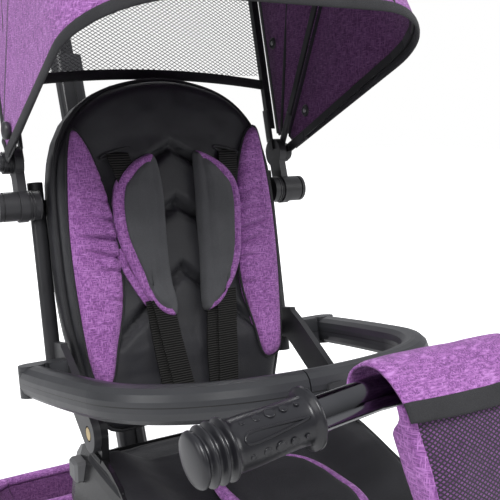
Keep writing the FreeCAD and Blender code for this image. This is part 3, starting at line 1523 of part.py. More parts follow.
node("side_brackets", group(bracket(1), bracket(-1)))
node("recline_bolts", group(recline_bolt(1), recline_bolt(-1)))

# Safety bar: two curved arms that meet in front of the child and swing outward.
bar = Frame(0, s.bar_y, s.bar_z, s.bar_rise)
reach, front_r, corner_r, half_bar = n(s.bar_length, s.bar_front_radius, s.bar_corner_radius, s.bar_half)
front_turn, corner_turn = (math.radians(q) for q in n(s.bar_front_angle, s.bar_corner_angle))
knuckle_half = n(s.bar_height / 2 - s.bar_ear - s.side_gap)
bar_half_width, bar_half_height = n(s.bar_width / 2, s.bar_height / 2)
clear = 1.1 * bar_half_width


def on_front(turn):
    return V(front_r * math.sin(turn), front_r - reach - front_r * math.cos(turn), 0)


def arm_path(start):
    """From one end of the front arc, round the corner, to the pin beside the backrest."""
    first = on_front(front_turn)
    centre = first + V(-math.sin(front_turn), math.cos(front_turn), 0) * corner_r

    def on_corner(turn):
        return centre + V(math.sin(turn), -math.cos(turn), 0) * corner_r

    last = on_corner(corner_turn)
    end = V(half_bar, 0, 0)
    chord = end - last
    bow = corner_turn - math.atan2(chord.y, chord.x)
    middle = (last + end) * 0.5 + V(chord.y, -chord.x, 0) * (math.tan(-bow / 2) / 2)
    return [
        Part.Arc(on_front(start), on_front((start + front_turn) / 2), first).toShape(),
        Part.Arc(first, on_corner((front_turn + corner_turn) / 2), last).toShape(),
        Part.Arc(last, middle, end).toShape(),
    ]


def bar_arm(start):
    across = V(math.sin(start), -math.cos(start), 0)
    section = chord_section(on_front(start), across, V(0, 0, 1), bar_half_width * 2, bar_half_height * 2,
                            n(s.bar_round), 3)
    arm = swept(arm_path(start), section)
    for z in (knuckle_half, -knuckle_half - 50):
        arm = arm.cut(Part.makeCylinder(clear, 50, V(half_bar, 0, z)))
    arm = arm.fuse(Part.makeCylinder(bar_half_width, knuckle_half * 2, V(half_bar, 0, -knuckle_half)))
    return arm.cut(Part.makeCylinder(n(s.bar_pin_radius + s.running_gap), 60, V(half_bar, 0, -30)))


def flipped(shape):
    return shape.mirror(V(0, 0, 0), V(1, 0, 0))


joint_x, joint_gap = n(s.bar_joint_x, s.bar_joint_gap)
left_arm = bar_arm(math.asin((joint_x + joint_gap / 2) / front_r))
right_arm = flipped(bar_arm(math.asin((-joint_x + joint_gap / 2) / front_r)))
button_x, button_w, button_h, button_d, proud = n(
    s.bar_button_x, s.bar_button_width, s.bar_button_height, s.bar_button_depth, s.bar_button_proud)
face_y = -reach - bar_half_width
gap = n(s.side_gap) / 2


def button_block(grow, y, depth):
    at = V(button_x, y, 0)
    outline = round_section(at, V(1, 0, 0), V(0, 0, 1), button_w + grow * 2, button_h + grow * 2,
                            button_h * 0.35)
    return plate(outline.Edges, V(0, depth, 0))


left_arm = left_arm.cut(button_block(gap, face_y - 9, button_d + 10))
node("bar_arm_left", feature(left_arm, bar))
node("bar_arm_right", feature(right_arm, bar))
node("bar_button", feature(button_block(0, face_y - proud, button_d), bar))


def bar_socket():
    x0 = n(s.bracket_x + s.bracket_thickness)
    block = Part.makeBox(half_bar - clear - n(s.bar_socket_gap) - x0, bar_half_width * 1.85,
                         bar_half_height * 2, V(x0, -bar_half_width * 0.85, -bar_half_height))
    block = block.fuse(Part.makeBox(half_bar - x0, bar_half_width * 1.3, bar_half_height * 2,
                                    V(x0, -bar_half_width * 0.3, -bar_half_height)))
    eye = Part.makeCylinder(bar_half_width, bar_half_height * 2, V(half_bar, 0, -bar_half_height))
    block = block.fuse(eye)
    room = Part.makeCylinder(clear, (knuckle_half + gap * 2) * 2, V(half_bar, 0, -knuckle_half - gap * 2))
    return block.cut(room).fuse(
        Part.makeCylinder(n(s.bar_pin_radius), bar_half_height * 2, V(half_bar, 0, -bar_half_height)))


socket = bar_socket()
node("bar_sockets", feature(Part.makeCompound([socket, flipped(socket)]), bar))

# Canopy: arms on the backrest, three bows round one axis, skins that slide over each other.
lower = Frame(0, s.canopy_pivot_y, s.canopy_pivot_z)
hood = Frame(0, s.canopy_hub_y, s.canopy_hub_z)
arm_in = s.canopy_arm_x - s.canopy_arm_thickness / 2
arm_out = s.canopy_arm_x + s.canopy_arm_thickness / 2
mid_in = arm_out + s.side_gap
mid_out = mid_in + s.canopy_bow_thickness
mid_skin = mid_out + s.canopy_skin
front_in = mid_skin + s.canopy_nest_gap
front_out = front_in + s.canopy_bow_thickness
front_skin = front_out + s.canopy_skin
pin_end = front_skin + s.side_gap


def lying(frame, radius, x0, x1, sign):
    """A cylinder along X between two distances from the middle, on one side."""
    return cylinder(radius, x1 - x0, frame, (x0 if sign > 0 else -x1, 0, 0), ALONG_X)


def barrel(sign):
    """A ringed boss on the backrest tube, with the axle that carries one canopy arm."""
    groove_x = arm_out + s.canopy_barrel_radius
    tube_side = tube_x + tube_r
    return cut(
        fuse(
            lying(lower, s.canopy_barrel_radius, tube_x, arm_in - s.side_gap, sign),
            lying(lower, s.canopy_axle_radius, tube_side, s.canopy_barrel_outer, sign),
            lying(lower, s.canopy_barrel_radius, arm_out + s.side_gap, groove_x, sign),
            lying(lower, s.canopy_barrel_radius * 0.9, groove_x, groove_x + s.side_gap * 6, sign),
            lying(lower, s.canopy_barrel_radius, groove_x + s.side_gap * 6, s.canopy_barrel_outer, sign),
        ),
        rest_tube(sign),
    )


def canopy_arm(sign):
    run_z = s.canopy_hub_z - s.canopy_pivot_z
    run_y = s.canopy_hub_y - s.canopy_pivot_y
    arm_start = arm_in if sign > 0 else -arm_out
    return cut(
        fuse(
            slot_plate(lower, (0 * run_y, 0 * run_z), (run_y, run_z), s.canopy_arm_width / 2, arm_start,
                       s.canopy_arm_thickness),
            cylinder(s.canopy_hub_radius, s.canopy_arm_thickness, lower, (arm_start, 0, 0), ALONG_X),
            cylinder(s.canopy_hub_radius, s.canopy_arm_thickness, hood, (arm_start, 0, 0), ALONG_X),
            lying(hood, s.canopy_pin_radius, arm_in, pin_end + s.canopy_skin, sign),
            lying(hood, s.canopy_pin_radius * 2, pin_end, pin_end + s.canopy_skin * 2, sign),
        ),
        lying(lower, s.canopy_axle_radius + s.running_gap, tube_x, s.canopy_barrel_outer, sign),
    )


node("canopy_barrels", group(barrel(1), barrel(-1)))
node("canopy_arms", group(canopy_arm(1), canopy_arm(-1)))


def hoop(half, reach_to, corner, low):
    """The open outline of a bow: up one side, across, and down the other."""
    chords = int(s.canopy_corner_chords.value)
    bend = [(corner * math.cos(turn), corner * math.sin(turn))
            for turn in (math.pi / 2 * k / chords for k in range(chords + 1))]
    spots = [V(half, low, 0)] + [V(half - corner + x, reach_to - corner + y, 0) for x, y in bend]
    spots += [V(-p.x, p.y, 0) for p in spots[::-1]]
    return Part.makePolygon(spots).Edges, spots[0], spots[-1]


def hoop_face(half, thickness, low):
    """A strip that follows a bow; all bows share one centre for their corners."""
    grow = half - n(mid_in)
    reach_to, corner = n(s.canopy_reach) + grow, n(s.canopy_bow_corner) + grow
    outer_edges, a, f = hoop(half, reach_to, corner, low)
    inner_edges, b, g = hoop(half - thickness, reach_to - thickness, corner - thickness, low)
    edges = outer_edges + [Part.LineSegment(f, g).toShape()] + inner_edges[::-1] + [
        Part.LineSegment(b, a).toShape()]
    return Part.Face(Part.Wire(Part.sortEdges(edges)[0]))


def turned(shape, angle):
    """Stands a shape drawn flat on the canopy's axis at an angle up from the front."""
    spin = FreeCAD.Placement(V(0, 0, 0), FreeCAD.Rotation(V(1, 0, 0), 180 - angle))
    return shape.transformed(spin.Matrix, True)


def bow(half, thickness, angle, eye_to, bore):
    width = n(s.canopy_bow_width)
    strip = hoop_face(half, thickness, 0).extrude(V(0, 0, width))
    strip.translate(V(0, 0, -width / 2))
    if eye_to:
        for x in (half - thickness, -eye_to):
            span = eye_to - half + thickness
            strip = strip.fuse(Part.makeCylinder(n(s.canopy_eye_radius), span, V(x, 0, 0), V(1, 0, 0)))
        strip = strip.cut(Part.makeCylinder(bore, half * 4, V(-half * 2, 0, 0), V(1, 0, 0)))
    return turned(strip, angle)


def skin(half, angle, sweep):
    lap = n(s.canopy_lap) / 2
    face = turned(hoop_face(half, n(s.canopy_skin), n(s.canopy_skin_low)), angle - lap)
    return face.revolve(V(0, 0, 0), V(-1, 0, 0), sweep + lap)


rear_angle, mid_angle, front_angle = n(s.canopy_angle_rear, s.canopy_angle_mid, s.canopy_angle_front)
bow_thick = n(s.canopy_bow_thickness)
pin_bore = n(s.canopy_pin_radius + s.running_gap)
rear_half = n(arm_in)
node("canopy_bow_rear", feature(bow(rear_half, bow_thick, rear_angle, 0, pin_bore), hood))
bow_gap = s.running_gap
node("canopy_bow_mid", feature(
    bow(n(mid_out - bow_gap), bow_thick, mid_angle, n(mid_skin + s.side_gap), pin_bore), hood))
node("canopy_bow_front", feature(
    bow(n(front_out - bow_gap), bow_thick, front_angle, n(front_skin), pin_bore), hood))
node("canopy_skin_mid", feature(skin(n(mid_skin), mid_angle, rear_angle - mid_angle), hood))
node("canopy_skin_front", feature(skin(n(front_skin), front_angle, mid_angle - front_angle), hood))

# Rear window: one flat net inside the rear bow, above an arched hem.
hem_low, hem_high, pitch, strand, sheet = n(
    s.canopy_hem_rise, s.canopy_hem_rise + s.canopy_hem_height, s.mesh_pitch, s.mesh_strand, s.mesh_thickness)
rear_reach = n(s.canopy_reach) + rear_half - n(mid_in) - bow_thick
rear_corner = n(s.canopy_bow_corner) + rear_half - n(mid_in) - bow_thick
net_half = rear_half - bow_thick
frame_edges, a, f = hoop(net_half, rear_reach, rear_corner, hem_high)
net_face = Part.Face(Part.Wire(Part.sortEdges(frame_edges + [Part.LineSegment(f, a).toShape()])[0]))
rows_up = int((rear_reach - hem_high) / pitch)
holes = []
hole = pitch - strand
inside = net_half - strand
for i in range(-10, 10):
    for j in range(rows_up):
        x0, y0 = i * pitch + strand / 2, hem_high + strand + j * pitch
        far_x, far_y = max(abs(x0), abs(x0 + hole)), y0 + hole
        knee_x, knee_y = far_x - (net_half - rear_corner), far_y - (rear_reach - rear_corner)
        in_corner = knee_x > 0 and knee_y > 0
        if far_x > inside or far_y > rear_reach - strand or (
                in_corner and math.hypot(knee_x, knee_y) > rear_corner - strand):
            continue
        holes.append(Part.Face(Part.makePolygon([
            V(x0, y0, 0), V(x0 + hole, y0, 0), V(x0 + hole, y0 + hole, 0), V(x0, y0 + hole, 0),
            V(x0, y0, 0)])))
net = net_face.cut(Part.makeCompound(holes)).Faces[0].extrude(V(0, 0, sheet))
node("canopy_mesh", feature(turned(net, rear_angle), hood))
hem = Part.makeBox(net_half * 2, hem_high - hem_low, sheet * 2, V(-net_half, hem_low, 0))
node("canopy_hem", feature(turned(hem, rear_angle), hood))

# Rear basket: a tapered open tub with a wire round its rim.
basket_y0, basket_y1, basket_x = n(s.basket_front_y, s.basket_back_y, s.basket_half)


def tub(inset, low):
    taper, top, bottom = n(s.basket_taper, s.basket_rim_z, s.basket_bottom_z)
    wires = []
    waist = (bottom + (top - bottom) * WAIST_LEVEL_SHARE, taper * WAIST_TUCK_SHARE)
    for z, tuck in ((bottom + low, taper), waist, (top, 0)):
        middle = V(0, (basket_y0 + basket_y1) / 2 - tuck * TUB_SHIFT_SHARE, z)
        wires.append(chord_section(middle, V(1, 0, 0), V(0, 1, 0), (basket_x - inset - tuck) * 2,
                                   basket_y1 - basket_y0 - (inset + tuck * 0.3) * 2,
                                   n(s.basket_corner) - inset - tuck * 0.2))
    return Part.makeLoft(wires, True, True)


node("basket", feature(tub(0, 0).cut(tub(n(s.basket_wall), n(s.basket_wall)))))
wire_r, rim_corner, rim_level = n(s.basket_wire_radius, s.basket_corner, s.basket_rim_z)


def rim_loop(grow, level):
    """The rim's outline at one level, moved outward."""
    return chord_section(V(0, (basket_y0 + basket_y1) / 2, level), V(1, 0, 0), V(0, 1, 0),
                         (basket_x + grow) * 2, basket_y1 - basket_y0 + grow * 2, rim_corner + grow)


def rim_ring(wide, low, narrow, high):
    """A band between two levels whose outer and inner edges lean together."""
    outer = Part.makeLoft([rim_loop(wide, low), rim_loop(narrow, high)], True, True)
    return outer.cut(Part.makeLoft([rim_loop(-wide, low), rim_loop(-narrow, high)], True, True))


node("basket_rim", feature(rim_ring(wire_r / 2, rim_level, wire_r, rim_level + wire_r / 2).fuse(
    rim_ring(wire_r, rim_level + wire_r / 2, wire_r, rim_level + wire_r * 1.5)).fuse(
    rim_ring(wire_r, rim_level + wire_r * 1.5, wire_r / 2, rim_level + wire_r * 2))))

doc.recompute()
for name, piece in NODES.items():
    broken = [o.Name for o in piece.OutListRecursive + [piece] if "Invalid" in o.State]
    if broken or not piece.Shape.isValid() or not piece.Shape.Solids:
        raise RuntimeError(f"{name} did not build: {broken}")

os.makedirs("parts", exist_ok=True)
for name, piece in NODES.items():
    piece.Shape.exportStep(f"parts/{name}.step")
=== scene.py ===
import math

import bmesh
import bpy
from mathutils import Matrix, Vector, noise


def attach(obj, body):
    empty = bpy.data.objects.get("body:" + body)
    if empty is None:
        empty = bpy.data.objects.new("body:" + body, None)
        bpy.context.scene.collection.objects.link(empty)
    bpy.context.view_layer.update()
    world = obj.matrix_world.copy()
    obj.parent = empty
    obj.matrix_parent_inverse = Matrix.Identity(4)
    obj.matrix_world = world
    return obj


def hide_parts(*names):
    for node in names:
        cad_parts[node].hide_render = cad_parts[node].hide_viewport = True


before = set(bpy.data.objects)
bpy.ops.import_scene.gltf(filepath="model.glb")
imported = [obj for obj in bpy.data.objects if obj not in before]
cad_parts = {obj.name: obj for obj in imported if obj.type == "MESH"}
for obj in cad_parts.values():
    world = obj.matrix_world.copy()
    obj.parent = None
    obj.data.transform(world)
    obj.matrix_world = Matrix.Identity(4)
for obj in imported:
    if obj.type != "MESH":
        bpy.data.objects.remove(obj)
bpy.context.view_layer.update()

# Camera: it stands where the photographer stood, at the tricycle's front left, a little above the bar.
# The place was found from the backrest, the safety bar and the handlebar.
SENSOR_WIDTH = 36
FOCAL_SHARE = 765.9 / 500
camera_data = bpy.data.cameras.new("camera")
camera_data.sensor_width = SENSOR_WIDTH
camera_data.lens = SENSOR_WIDTH * FOCAL_SHARE
camera_data.clip_start, camera_data.clip_end = 0.01, 60
camera = bpy.data.objects.new("camera", camera_data)
bpy.context.scene.collection.objects.link(camera)
camera.location = (-0.3929, -0.7787, 0.7382)
camera.rotation_euler = (math.pi / 2 - 0.191, 0, -0.528)
bpy.context.scene.camera = camera
bpy.context.scene.view_settings.view_transform = "Standard"


# Studio: one wide key lamp above the camera, a softer one on each side and one behind, with a surround
# that is white for the camera and falls off towards the floor in what the tricycle reflects.
def area_light(name, at, aim, size, power):
    data = bpy.data.lights.new(name, "AREA")
    data.shape, data.size, data.energy = "DISK", size, power
    lamp = bpy.data.objects.new(name, data)
    bpy.context.scene.collection.objects.link(lamp)
    lamp.location = at
    lamp.rotation_euler = (Vector(aim) - Vector(at)).to_track_quat("-Z", "Y").to_euler()


area_light("key", (-1.3, -2.0, 3.1), (0, 0, 0.6), 1.5, 92)
area_light("fill_right", (2.6, -1.6, 1.5), (0, 0, 0.5), 1.6, 24)
area_light("fill_left", (-2.8, -0.2, 1.3), (0, 0, 0.6), 1.4, 14)
area_light("back", (0.6, 2.6, 2.4), (0, 0, 0.7), 1.6, 26)

world = bpy.data.worlds.new("studio")
bpy.context.scene.world = world
world.use_nodes = True
tree = world.node_tree
tree.nodes.clear()
height = tree.nodes.new("ShaderNodeSeparateXYZ")
tree.links.new(tree.nodes.new("ShaderNodeTexCoord").outputs["Generated"], height.inputs[0])
rise = tree.nodes.new("ShaderNodeMapRange")
for socket, value in (("From Min", -0.25), ("From Max", 0.9), ("To Min", 0.12), ("To Max", 0.72)):
    rise.inputs[socket].default_value = value
tree.links.new(height.outputs["Z"], rise.inputs["Value"])
soft = tree.nodes.new("ShaderNodeBackground")
soft.inputs["Color"].default_value = (0.95, 0.96, 1.0, 1)
tree.links.new(rise.outputs[0], soft.inputs["Strength"])
white = tree.nodes.new("ShaderNodeBackground")
white.inputs["Color"].default_value = (1, 1, 1, 1)
path = tree.nodes.new("ShaderNodeLightPath")
seen = tree.nodes.new("ShaderNodeMath")
seen.operation = "MAXIMUM"
tree.links.new(path.outputs["Is Camera Ray"], seen.inputs[0])
tree.links.new(path.outputs["Is Transmission Ray"], seen.inputs[1])
surround = tree.nodes.new("ShaderNodeMixShader")
tree.links.new(seen.outputs[0], surround.inputs[0])
tree.links.new(soft.outputs[0], surround.inputs[1])
tree.links.new(white.outputs[0], surround.inputs[2])
tree.links.new(surround.outputs[0], tree.nodes.new("ShaderNodeOutputWorld").inputs["Surface"])

# Floor: a pale matte sweep under the wheels. It keeps the tricycle's shadow, and its far part fades
# into the white surround.
FLOOR_REACH, SHADOW_REACH, WHITE_REACH = 9, 0.6, 2.2
sweep = bmesh.new()
bmesh.ops.create_grid(sweep, x_segments=1, y_segments=1, size=FLOOR_REACH)
floor_data = bpy.data.meshes.new("floor")
sweep.to_mesh(floor_data)
sweep.free()
floor = bpy.data.objects.new("floor", floor_data)
bpy.context.scene.collection.objects.link(floor)
floor_paint = bpy.data.materials.new("floor")
floor_paint.use_nodes = True
tree = floor_paint.node_tree
shader = tree.nodes["Principled BSDF"]
shader.inputs["Base Color"].default_value = (0.8, 0.8, 0.8, 1)
shader.inputs["Roughness"].default_value = 0.9
shader.inputs["Emission Color"].default_value = (1, 1, 1, 1)
away = tree.nodes.new("ShaderNodeVectorMath")
away.operation = "LENGTH"
tree.links.new(tree.nodes.new("ShaderNodeTexCoord").outputs["Object"], away.inputs[0])
fade = tree.nodes.new("ShaderNodeMapRange")
for socket, value in (("From Min", SHADOW_REACH), ("From Max", WHITE_REACH), ("To Min", 0.5), ("To Max", 1)):
    fade.inputs[socket].default_value = value
tree.links.new(away.outputs["Value"], fade.inputs["Value"])
glow = tree.nodes.new("ShaderNodeMath")
glow.operation = "MULTIPLY"
tree.links.new(tree.nodes.new("ShaderNodeLightPath").outputs["Is Camera Ray"], glow.inputs[0])
tree.links.new(fade.outputs[0], glow.inputs[1])
tree.links.new(glow.outputs[0], shader.inputs["Emission Strength"])
floor_data.materials.append(floor_paint)


# Frame: bent and welded steel tubes in a thin black powder coat. The front half turns on a plain steel pin
# under the seat, a moulded lever locks it, and a steel axle carries the rear wheels.
class Paint:
    """A finish in the object's own space and at its real scale, with the steps that most of them share."""

    def __init__(self, name, roughness, metallic=0.0, coat=0.0, sheen=0.0, specular=0.5):
        self.made = bpy.data.materials.new(name)
        self.made.use_nodes = True
        self.tree = self.made.node_tree
        self.shader = self.tree.nodes["Principled BSDF"]
        for socket, value in (("Roughness", roughness), ("Metallic", metallic), ("Coat Weight", coat),
                              ("Sheen Weight", sheen), ("Specular IOR Level", specular)):
            self.shader.inputs[socket].default_value = value
        self.place = self.node("ShaderNodeTexCoord").outputs["Object"]

    def node(self, kind, **values):
        made = self.tree.nodes.new(kind)
        for key, value in values.items():
            setattr(made, key, value)
        return made

    def link(self, a, b):
        self.tree.links.new(a, b)

    def stretched(self, scale, turn=(0, 0, 0)):
        """The object's coordinates, scaled for each axis, so that a noise becomes threads."""
        made = self.node("ShaderNodeMapping")
        made.inputs["Scale"].default_value = scale
        made.inputs["Rotation"].default_value = turn
        self.link(self.place, made.inputs["Vector"])
        return made.outputs[0]

    def mottle(self, scale, detail):
        """Noise of one grain, alike in all directions or with a scale for each axis."""
        made = self.node("ShaderNodeTexNoise")
        made.inputs["Scale"].default_value = 1
        made.inputs["Detail"].default_value = detail
        self.link(self.stretched(scale if isinstance(scale, tuple) else (scale,) * 3), made.inputs["Vector"])
        return made.outputs[0]

    def ribs(self, scale, axis, vector=None):
        made = self.node("ShaderNodeTexWave", bands_direction=axis)
        made.inputs["Scale"].default_value = scale
        self.link(vector or self.place, made.inputs["Vector"])
        return made.outputs[1]

    def math(self, kind, a, b):
        made = self.node("ShaderNodeMath", operation=kind)
        for value, socket in ((a, made.inputs[0]), (b, made.inputs[1])):
            if isinstance(value, (int, float)):
                socket.default_value = value
            else:
                self.link(value, socket)
        return made.outputs[0]

    def sum(self, a, a_share, b, b_share):
        return self.math("ADD", self.math("MULTIPLY", a, a_share), self.math("MULTIPLY", b, b_share))

    def ramp(self, factor, *stops):
        made = self.node("ShaderNodeValToRGB")
        ramp = made.color_ramp
        while len(ramp.elements) < len(stops):
            ramp.elements.new(0.5)
        for element, (spot, colour) in zip(ramp.elements, stops):
            element.position, element.color = spot, (*colour, 1)
        self.link(factor, made.inputs[0])
        return made.outputs[0]

    def lined(self, colour, mask, line):
        """A colour with another one over it where the mask is 1."""
        made = self.node("ShaderNodeMix", data_type="RGBA")
        factor, under, over, result = made.inputs[0], made.inputs[6], made.inputs[7], made.outputs[2]
        self.link(mask, factor)
        self.link(colour, under)
        over.default_value = (*line, 1)
        return result

    def colour(self, socket):
        self.link(socket, self.shader.inputs["Base Color"])

    def rough(self, factor, low, high):
        made = self.node("ShaderNodeMapRange")
        made.inputs["To Min"].default_value, made.inputs["To Max"].default_value = low, high
        self.link(factor, made.inputs["Value"])
        self.link(made.outputs[0], self.shader.inputs["Roughness"])

    def bump(self, height, strength, depth):
        made = self.node("ShaderNodeBump")
        made.inputs["Strength"].default_value = strength
        made.inputs["Distance"].default_value = depth
        self.link(height, made.inputs["Height"])
        self.link(made.outputs[0], self.shader.inputs["Normal"])


def moulded(name, dark, light, low, high, grain=900, depth=0.00025, coat=0.0, metallic=0.0, specular=0.5):
    """Moulded plastic, rubber or coated metal: fine grain, faint clouding and rubbed spots."""
    paint = Paint(name, (low + high) / 2, metallic=metallic, coat=coat, specular=specular)
    paint.colour(paint.ramp(paint.mottle(14, 4), (0.3, dark), (0.7, light)))
    paint.rough(paint.mottle(45, 5), low, high)
    paint.bump(paint.mottle(grain, 2), 0.25, depth)
    return paint.made


def dress(paint, *names):
    """Gives solids that keep their own shape their finish."""
    for name in names:
        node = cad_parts[name]
        node.data.materials.clear()
        node.data.materials.append(paint)


STEEL_PAINT = moulded("coated_steel", (0.013, 0.013, 0.015), (0.024, 0.024, 0.026), 0.25, 0.4, 500, 0.00012,
                      specular=0.4)
SATIN_BLACK = moulded("satin_black", (0.020, 0.020, 0.022), (0.034, 0.034, 0.037), 0.32, 0.46)
BARE_STEEL = moulded("bare_steel", (0.42, 0.42, 0.43), (0.55, 0.55, 0.56), 0.2, 0.35, 600, 0.0001, 0.0, 1.0)
dress(STEEL_PAINT, "rear_frame", "front_frame")
dress(BARE_STEEL, "hinge_pin", "rear_axle")
dress(SATIN_BLACK, "fold_lever")


# Wheels: tyres of solid foam, moulded in one ring with fine pores, on spoked rims of dark plastic.
# The rear hubs are closed with a cap each.
def tyre_foam():
    paint = Paint("foam_tyre", 0.75, specular=0.35)
    pores = paint.mottle(650, 3)
    tone = paint.sum(paint.mottle(30, 5), 0.6, pores, 0.4)
    paint.colour(paint.ramp(tone, (0.35, (0.013, 0.013, 0.014)), (0.65, (0.035, 0.034, 0.034))))
    paint.bump(pores, 0.4, 0.0008)
    return paint.made


RIM_PLASTIC = moulded("wheel_plastic", (0.028, 0.028, 0.030), (0.045, 0.045, 0.048), 0.3, 0.45, 600, 0.0002)
dress(tyre_foam(), "rear_tyre_left", "rear_tyre_right", "front_tyre")
dress(RIM_PLASTIC, "rear_rim_left", "rear_rim_right", "front_rim", "hub_cap_left", "hub_cap_right")

# Steering fork: coated steel blades and stem, with a moulded fender bolted to the crown. The plated cranks
# pass through the front hub and carry moulded pedals.
dress(STEEL_PAINT, "front_fork", "stem")
dress(SATIN_BLACK, "front_fender", "pedal_left", "pedal_right")
dress(BARE_STEEL, "crankset")

# Footrests and brake: two folding footrests and a foot brake, moulded in black plastic. Each turns on a
# pin through lugs that are welded to the frame.
dress(SATIN_BLACK, "footrest_left", "footrest_right", "brake_pedal")

# Push pole: a coated steel tube in an outer tube, held by a moulded collar with a sprung button.
# Its cross handle is moulded too and wears two rubber sleeves.
RUBBER = moulded("grip_rubber", (0.008, 0.008, 0.010), (0.015, 0.015, 0.019), 0.24, 0.36, 1200, 0.00012)
dress(STEEL_PAINT, "push_pole", "push_pole_tube")
dress(SATIN_BLACK, "pole_collar", "pole_button", "push_handle")
dress(RUBBER, "push_handle_grips")


# Basket: a tub sewn from purple melange cloth, two layers deep, that sags between its corners. Its top edge
# is turned over a wire rim and sewn into a soft roll.
MM = 0.001
TUB_TOP, TUB_FLOOR, TUB_MIDDLE_Y, TUB_LAYERS = 152, 58, 317, 2.4
TUB_HALF, TUB_FRONT, TUB_BACK, TUB_CORNER, TUB_TUCK = 195, 268, 366, 42, 56
TUB_LEVELS = [152, 146, 138, 128, 118, 108, 98, 88, 78, 70, 64, 60.5]
ROLL_RADIUS, ROLL_RISE = 6.8, 3.5


def turned_frame(y, z, lean):
    """From a frame that leans back round X, in millimetres, to the tricycle's own frame in metres."""
    c, s = math.cos(math.radians(lean)), math.sin(math.radians(lean))

    def place(x, dy, dz):
        return Vector((x * MM, (y + dy * c + dz * s) * MM, (z - dy * s + dz * c) * MM))

    return place


def ease(x, low, run):
    """A share that grows from 0 to 1 over a run."""
    return min(max((x - low) / run, 0), 1)


def evenly(points, count, is_closed=False):
    """A count of points with even steps along a line."""
    lengths = [0.0]
    for a, b in zip(points, points[1:]):
        lengths.append(lengths[-1] + (b - a).length)
    made, k = [], 0
    for i in range(count):
        target = lengths[-1] * i / (count if is_closed else count - 1)
        while k < len(lengths) - 2 and lengths[k + 1] < target:
            k += 1
        t = (target - lengths[k]) / max(lengths[k + 1] - lengths[k], 1e-9)
        made.append(points[k].lerp(points[k + 1], t))
    return made


def smooth_loop(points, count, is_closed=True):
    """Evenly spaced points on a smooth line through a few hand-set ones."""
    many, n = [], len(points)
    for i in range(n if is_closed else n - 1):
        if is_closed:
            a, b, c, d = (Vector(points[(i + k) % n]) for k in (-1, 0, 1, 2))
        else:
            a, b, c, d = (Vector(points[min(max(i + k, 0), n - 1)]) for k in (-1, 0, 1, 2))
        for t in (step / 12 for step in range(12)):
            many.append(0.5 * (2 * b + (c - a) * t + (2 * a - 5 * b + 4 * c - d) * t * t
                               + (3 * b - a - 3 * c + d) * t ** 3))
    many.append(Vector(points[0] if is_closed else points[-1]))
    return evenly(many, count, is_closed)


def rounded_loop(hx, y0, y1, corner, radius, steps, count):
    """A rounded rectangle as an even loop, its corners drawn in steps."""
    loop = []
    for cx, cy, start in ((hx - corner, y1 - corner, 0), (-hx + corner, y1 - corner, 90),
                          (-hx + corner, y0 + corner, 180), (hx - corner, y0 + corner, 270)):
        for k in range(steps + 1):
            turn = math.radians(start + k * 90 / steps)
            loop.append((cx + radius * math.cos(turn), cy + radius * math.sin(turn)))
    return smooth_loop(loop, count)


def fuzz(x, y, z, scale, seed=0.0):
    """Smooth noise from -1 to 1, with features about as large as scale."""
    return noise.noise(Vector((x / scale + seed, y / scale - seed, z / scale)))


def melange(name, dark, middle, light):
    """Two-tone yarn: short pale and dark threads both ways over a soft mottle."""
    paint = Paint(name, 0.85, sheen=0.12, specular=0.2)
    across = paint.mottle((150, 150, 900), 2)
    along = paint.mottle((900, 900, 130), 2)
    threads = paint.math("MAXIMUM", across, along)
    tone = paint.sum(threads, 0.9, paint.mottle(34, 2), 0.1)
    paint.colour(paint.ramp(tone, (0.43, dark), (0.55, middle), (0.69, light)))
    weave = paint.math("ADD", paint.ribs(560, "Z"), paint.ribs(560, "X"))
    paint.bump(paint.math("ADD", weave, paint.math("MULTIPLY", threads, 2)), 0.35, 0.0006)
    return paint.made


def drawn_out(mesh, edges):
    """Extrudes a row of edges where it lies, and gives the new points and the new edges."""
    made = bmesh.ops.extrude_edge_only(mesh, edges=edges)["geom"]
    points = {v for v in made if isinstance(v, bmesh.types.BMVert)}
    return points, [e for e in made if isinstance(e, bmesh.types.BMEdge) and set(e.verts) <= points]


def skin(rows, is_closed=True, is_second=None):
    """A skin extruded row by row from its first row of points, each new row moved to its places.

    It comes with the edges of its last row. is_second says which faces, by their row and their place
    in it, take the piece's second cloth."""
    mesh = bmesh.new()
    spot = mesh.verts.layers.int.new("spot")
    points = [mesh.verts.new(p) for p in rows[0]]
    for i, point in enumerate(points):
        point[spot] = i
    pairs = list(zip(points, points[1:]))
    if is_closed:
        pairs.append((points[-1], points[0]))
    edges = [mesh.edges.new(pair) for pair in pairs]
    for j, row in enumerate(rows[1:]):
        moved, edges = drawn_out(mesh, edges)
        for v in moved:
            v.co = row[v[spot]]
        if is_second:
            for e in edges:
                low, high = sorted(v[spot] for v in e.verts)
                e.link_faces[0].material_index = int(is_second(j, low if high == low + 1 else high))
    return mesh, edges


def piece(name, mesh, paint, body, is_smooth=True, second=None):
    """Closes a bmesh into a piece that rides on a body and takes the given finish, and a second one where
    given.
    """
    bmesh.ops.remove_doubles(mesh, verts=mesh.verts, dist=0.00001)
    bmesh.ops.recalc_face_normals(mesh, faces=mesh.faces)
    for face in mesh.faces:
        face.smooth = is_smooth
    data = bpy.data.meshes.new(name)
    mesh.to_mesh(data)
    mesh.free()
    data.materials.append(paint)
    if second:
        data.materials.append(second)
    made = bpy.data.objects.new(name, data)
    bpy.context.scene.collection.objects.link(made)
    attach(made, body)
    return made


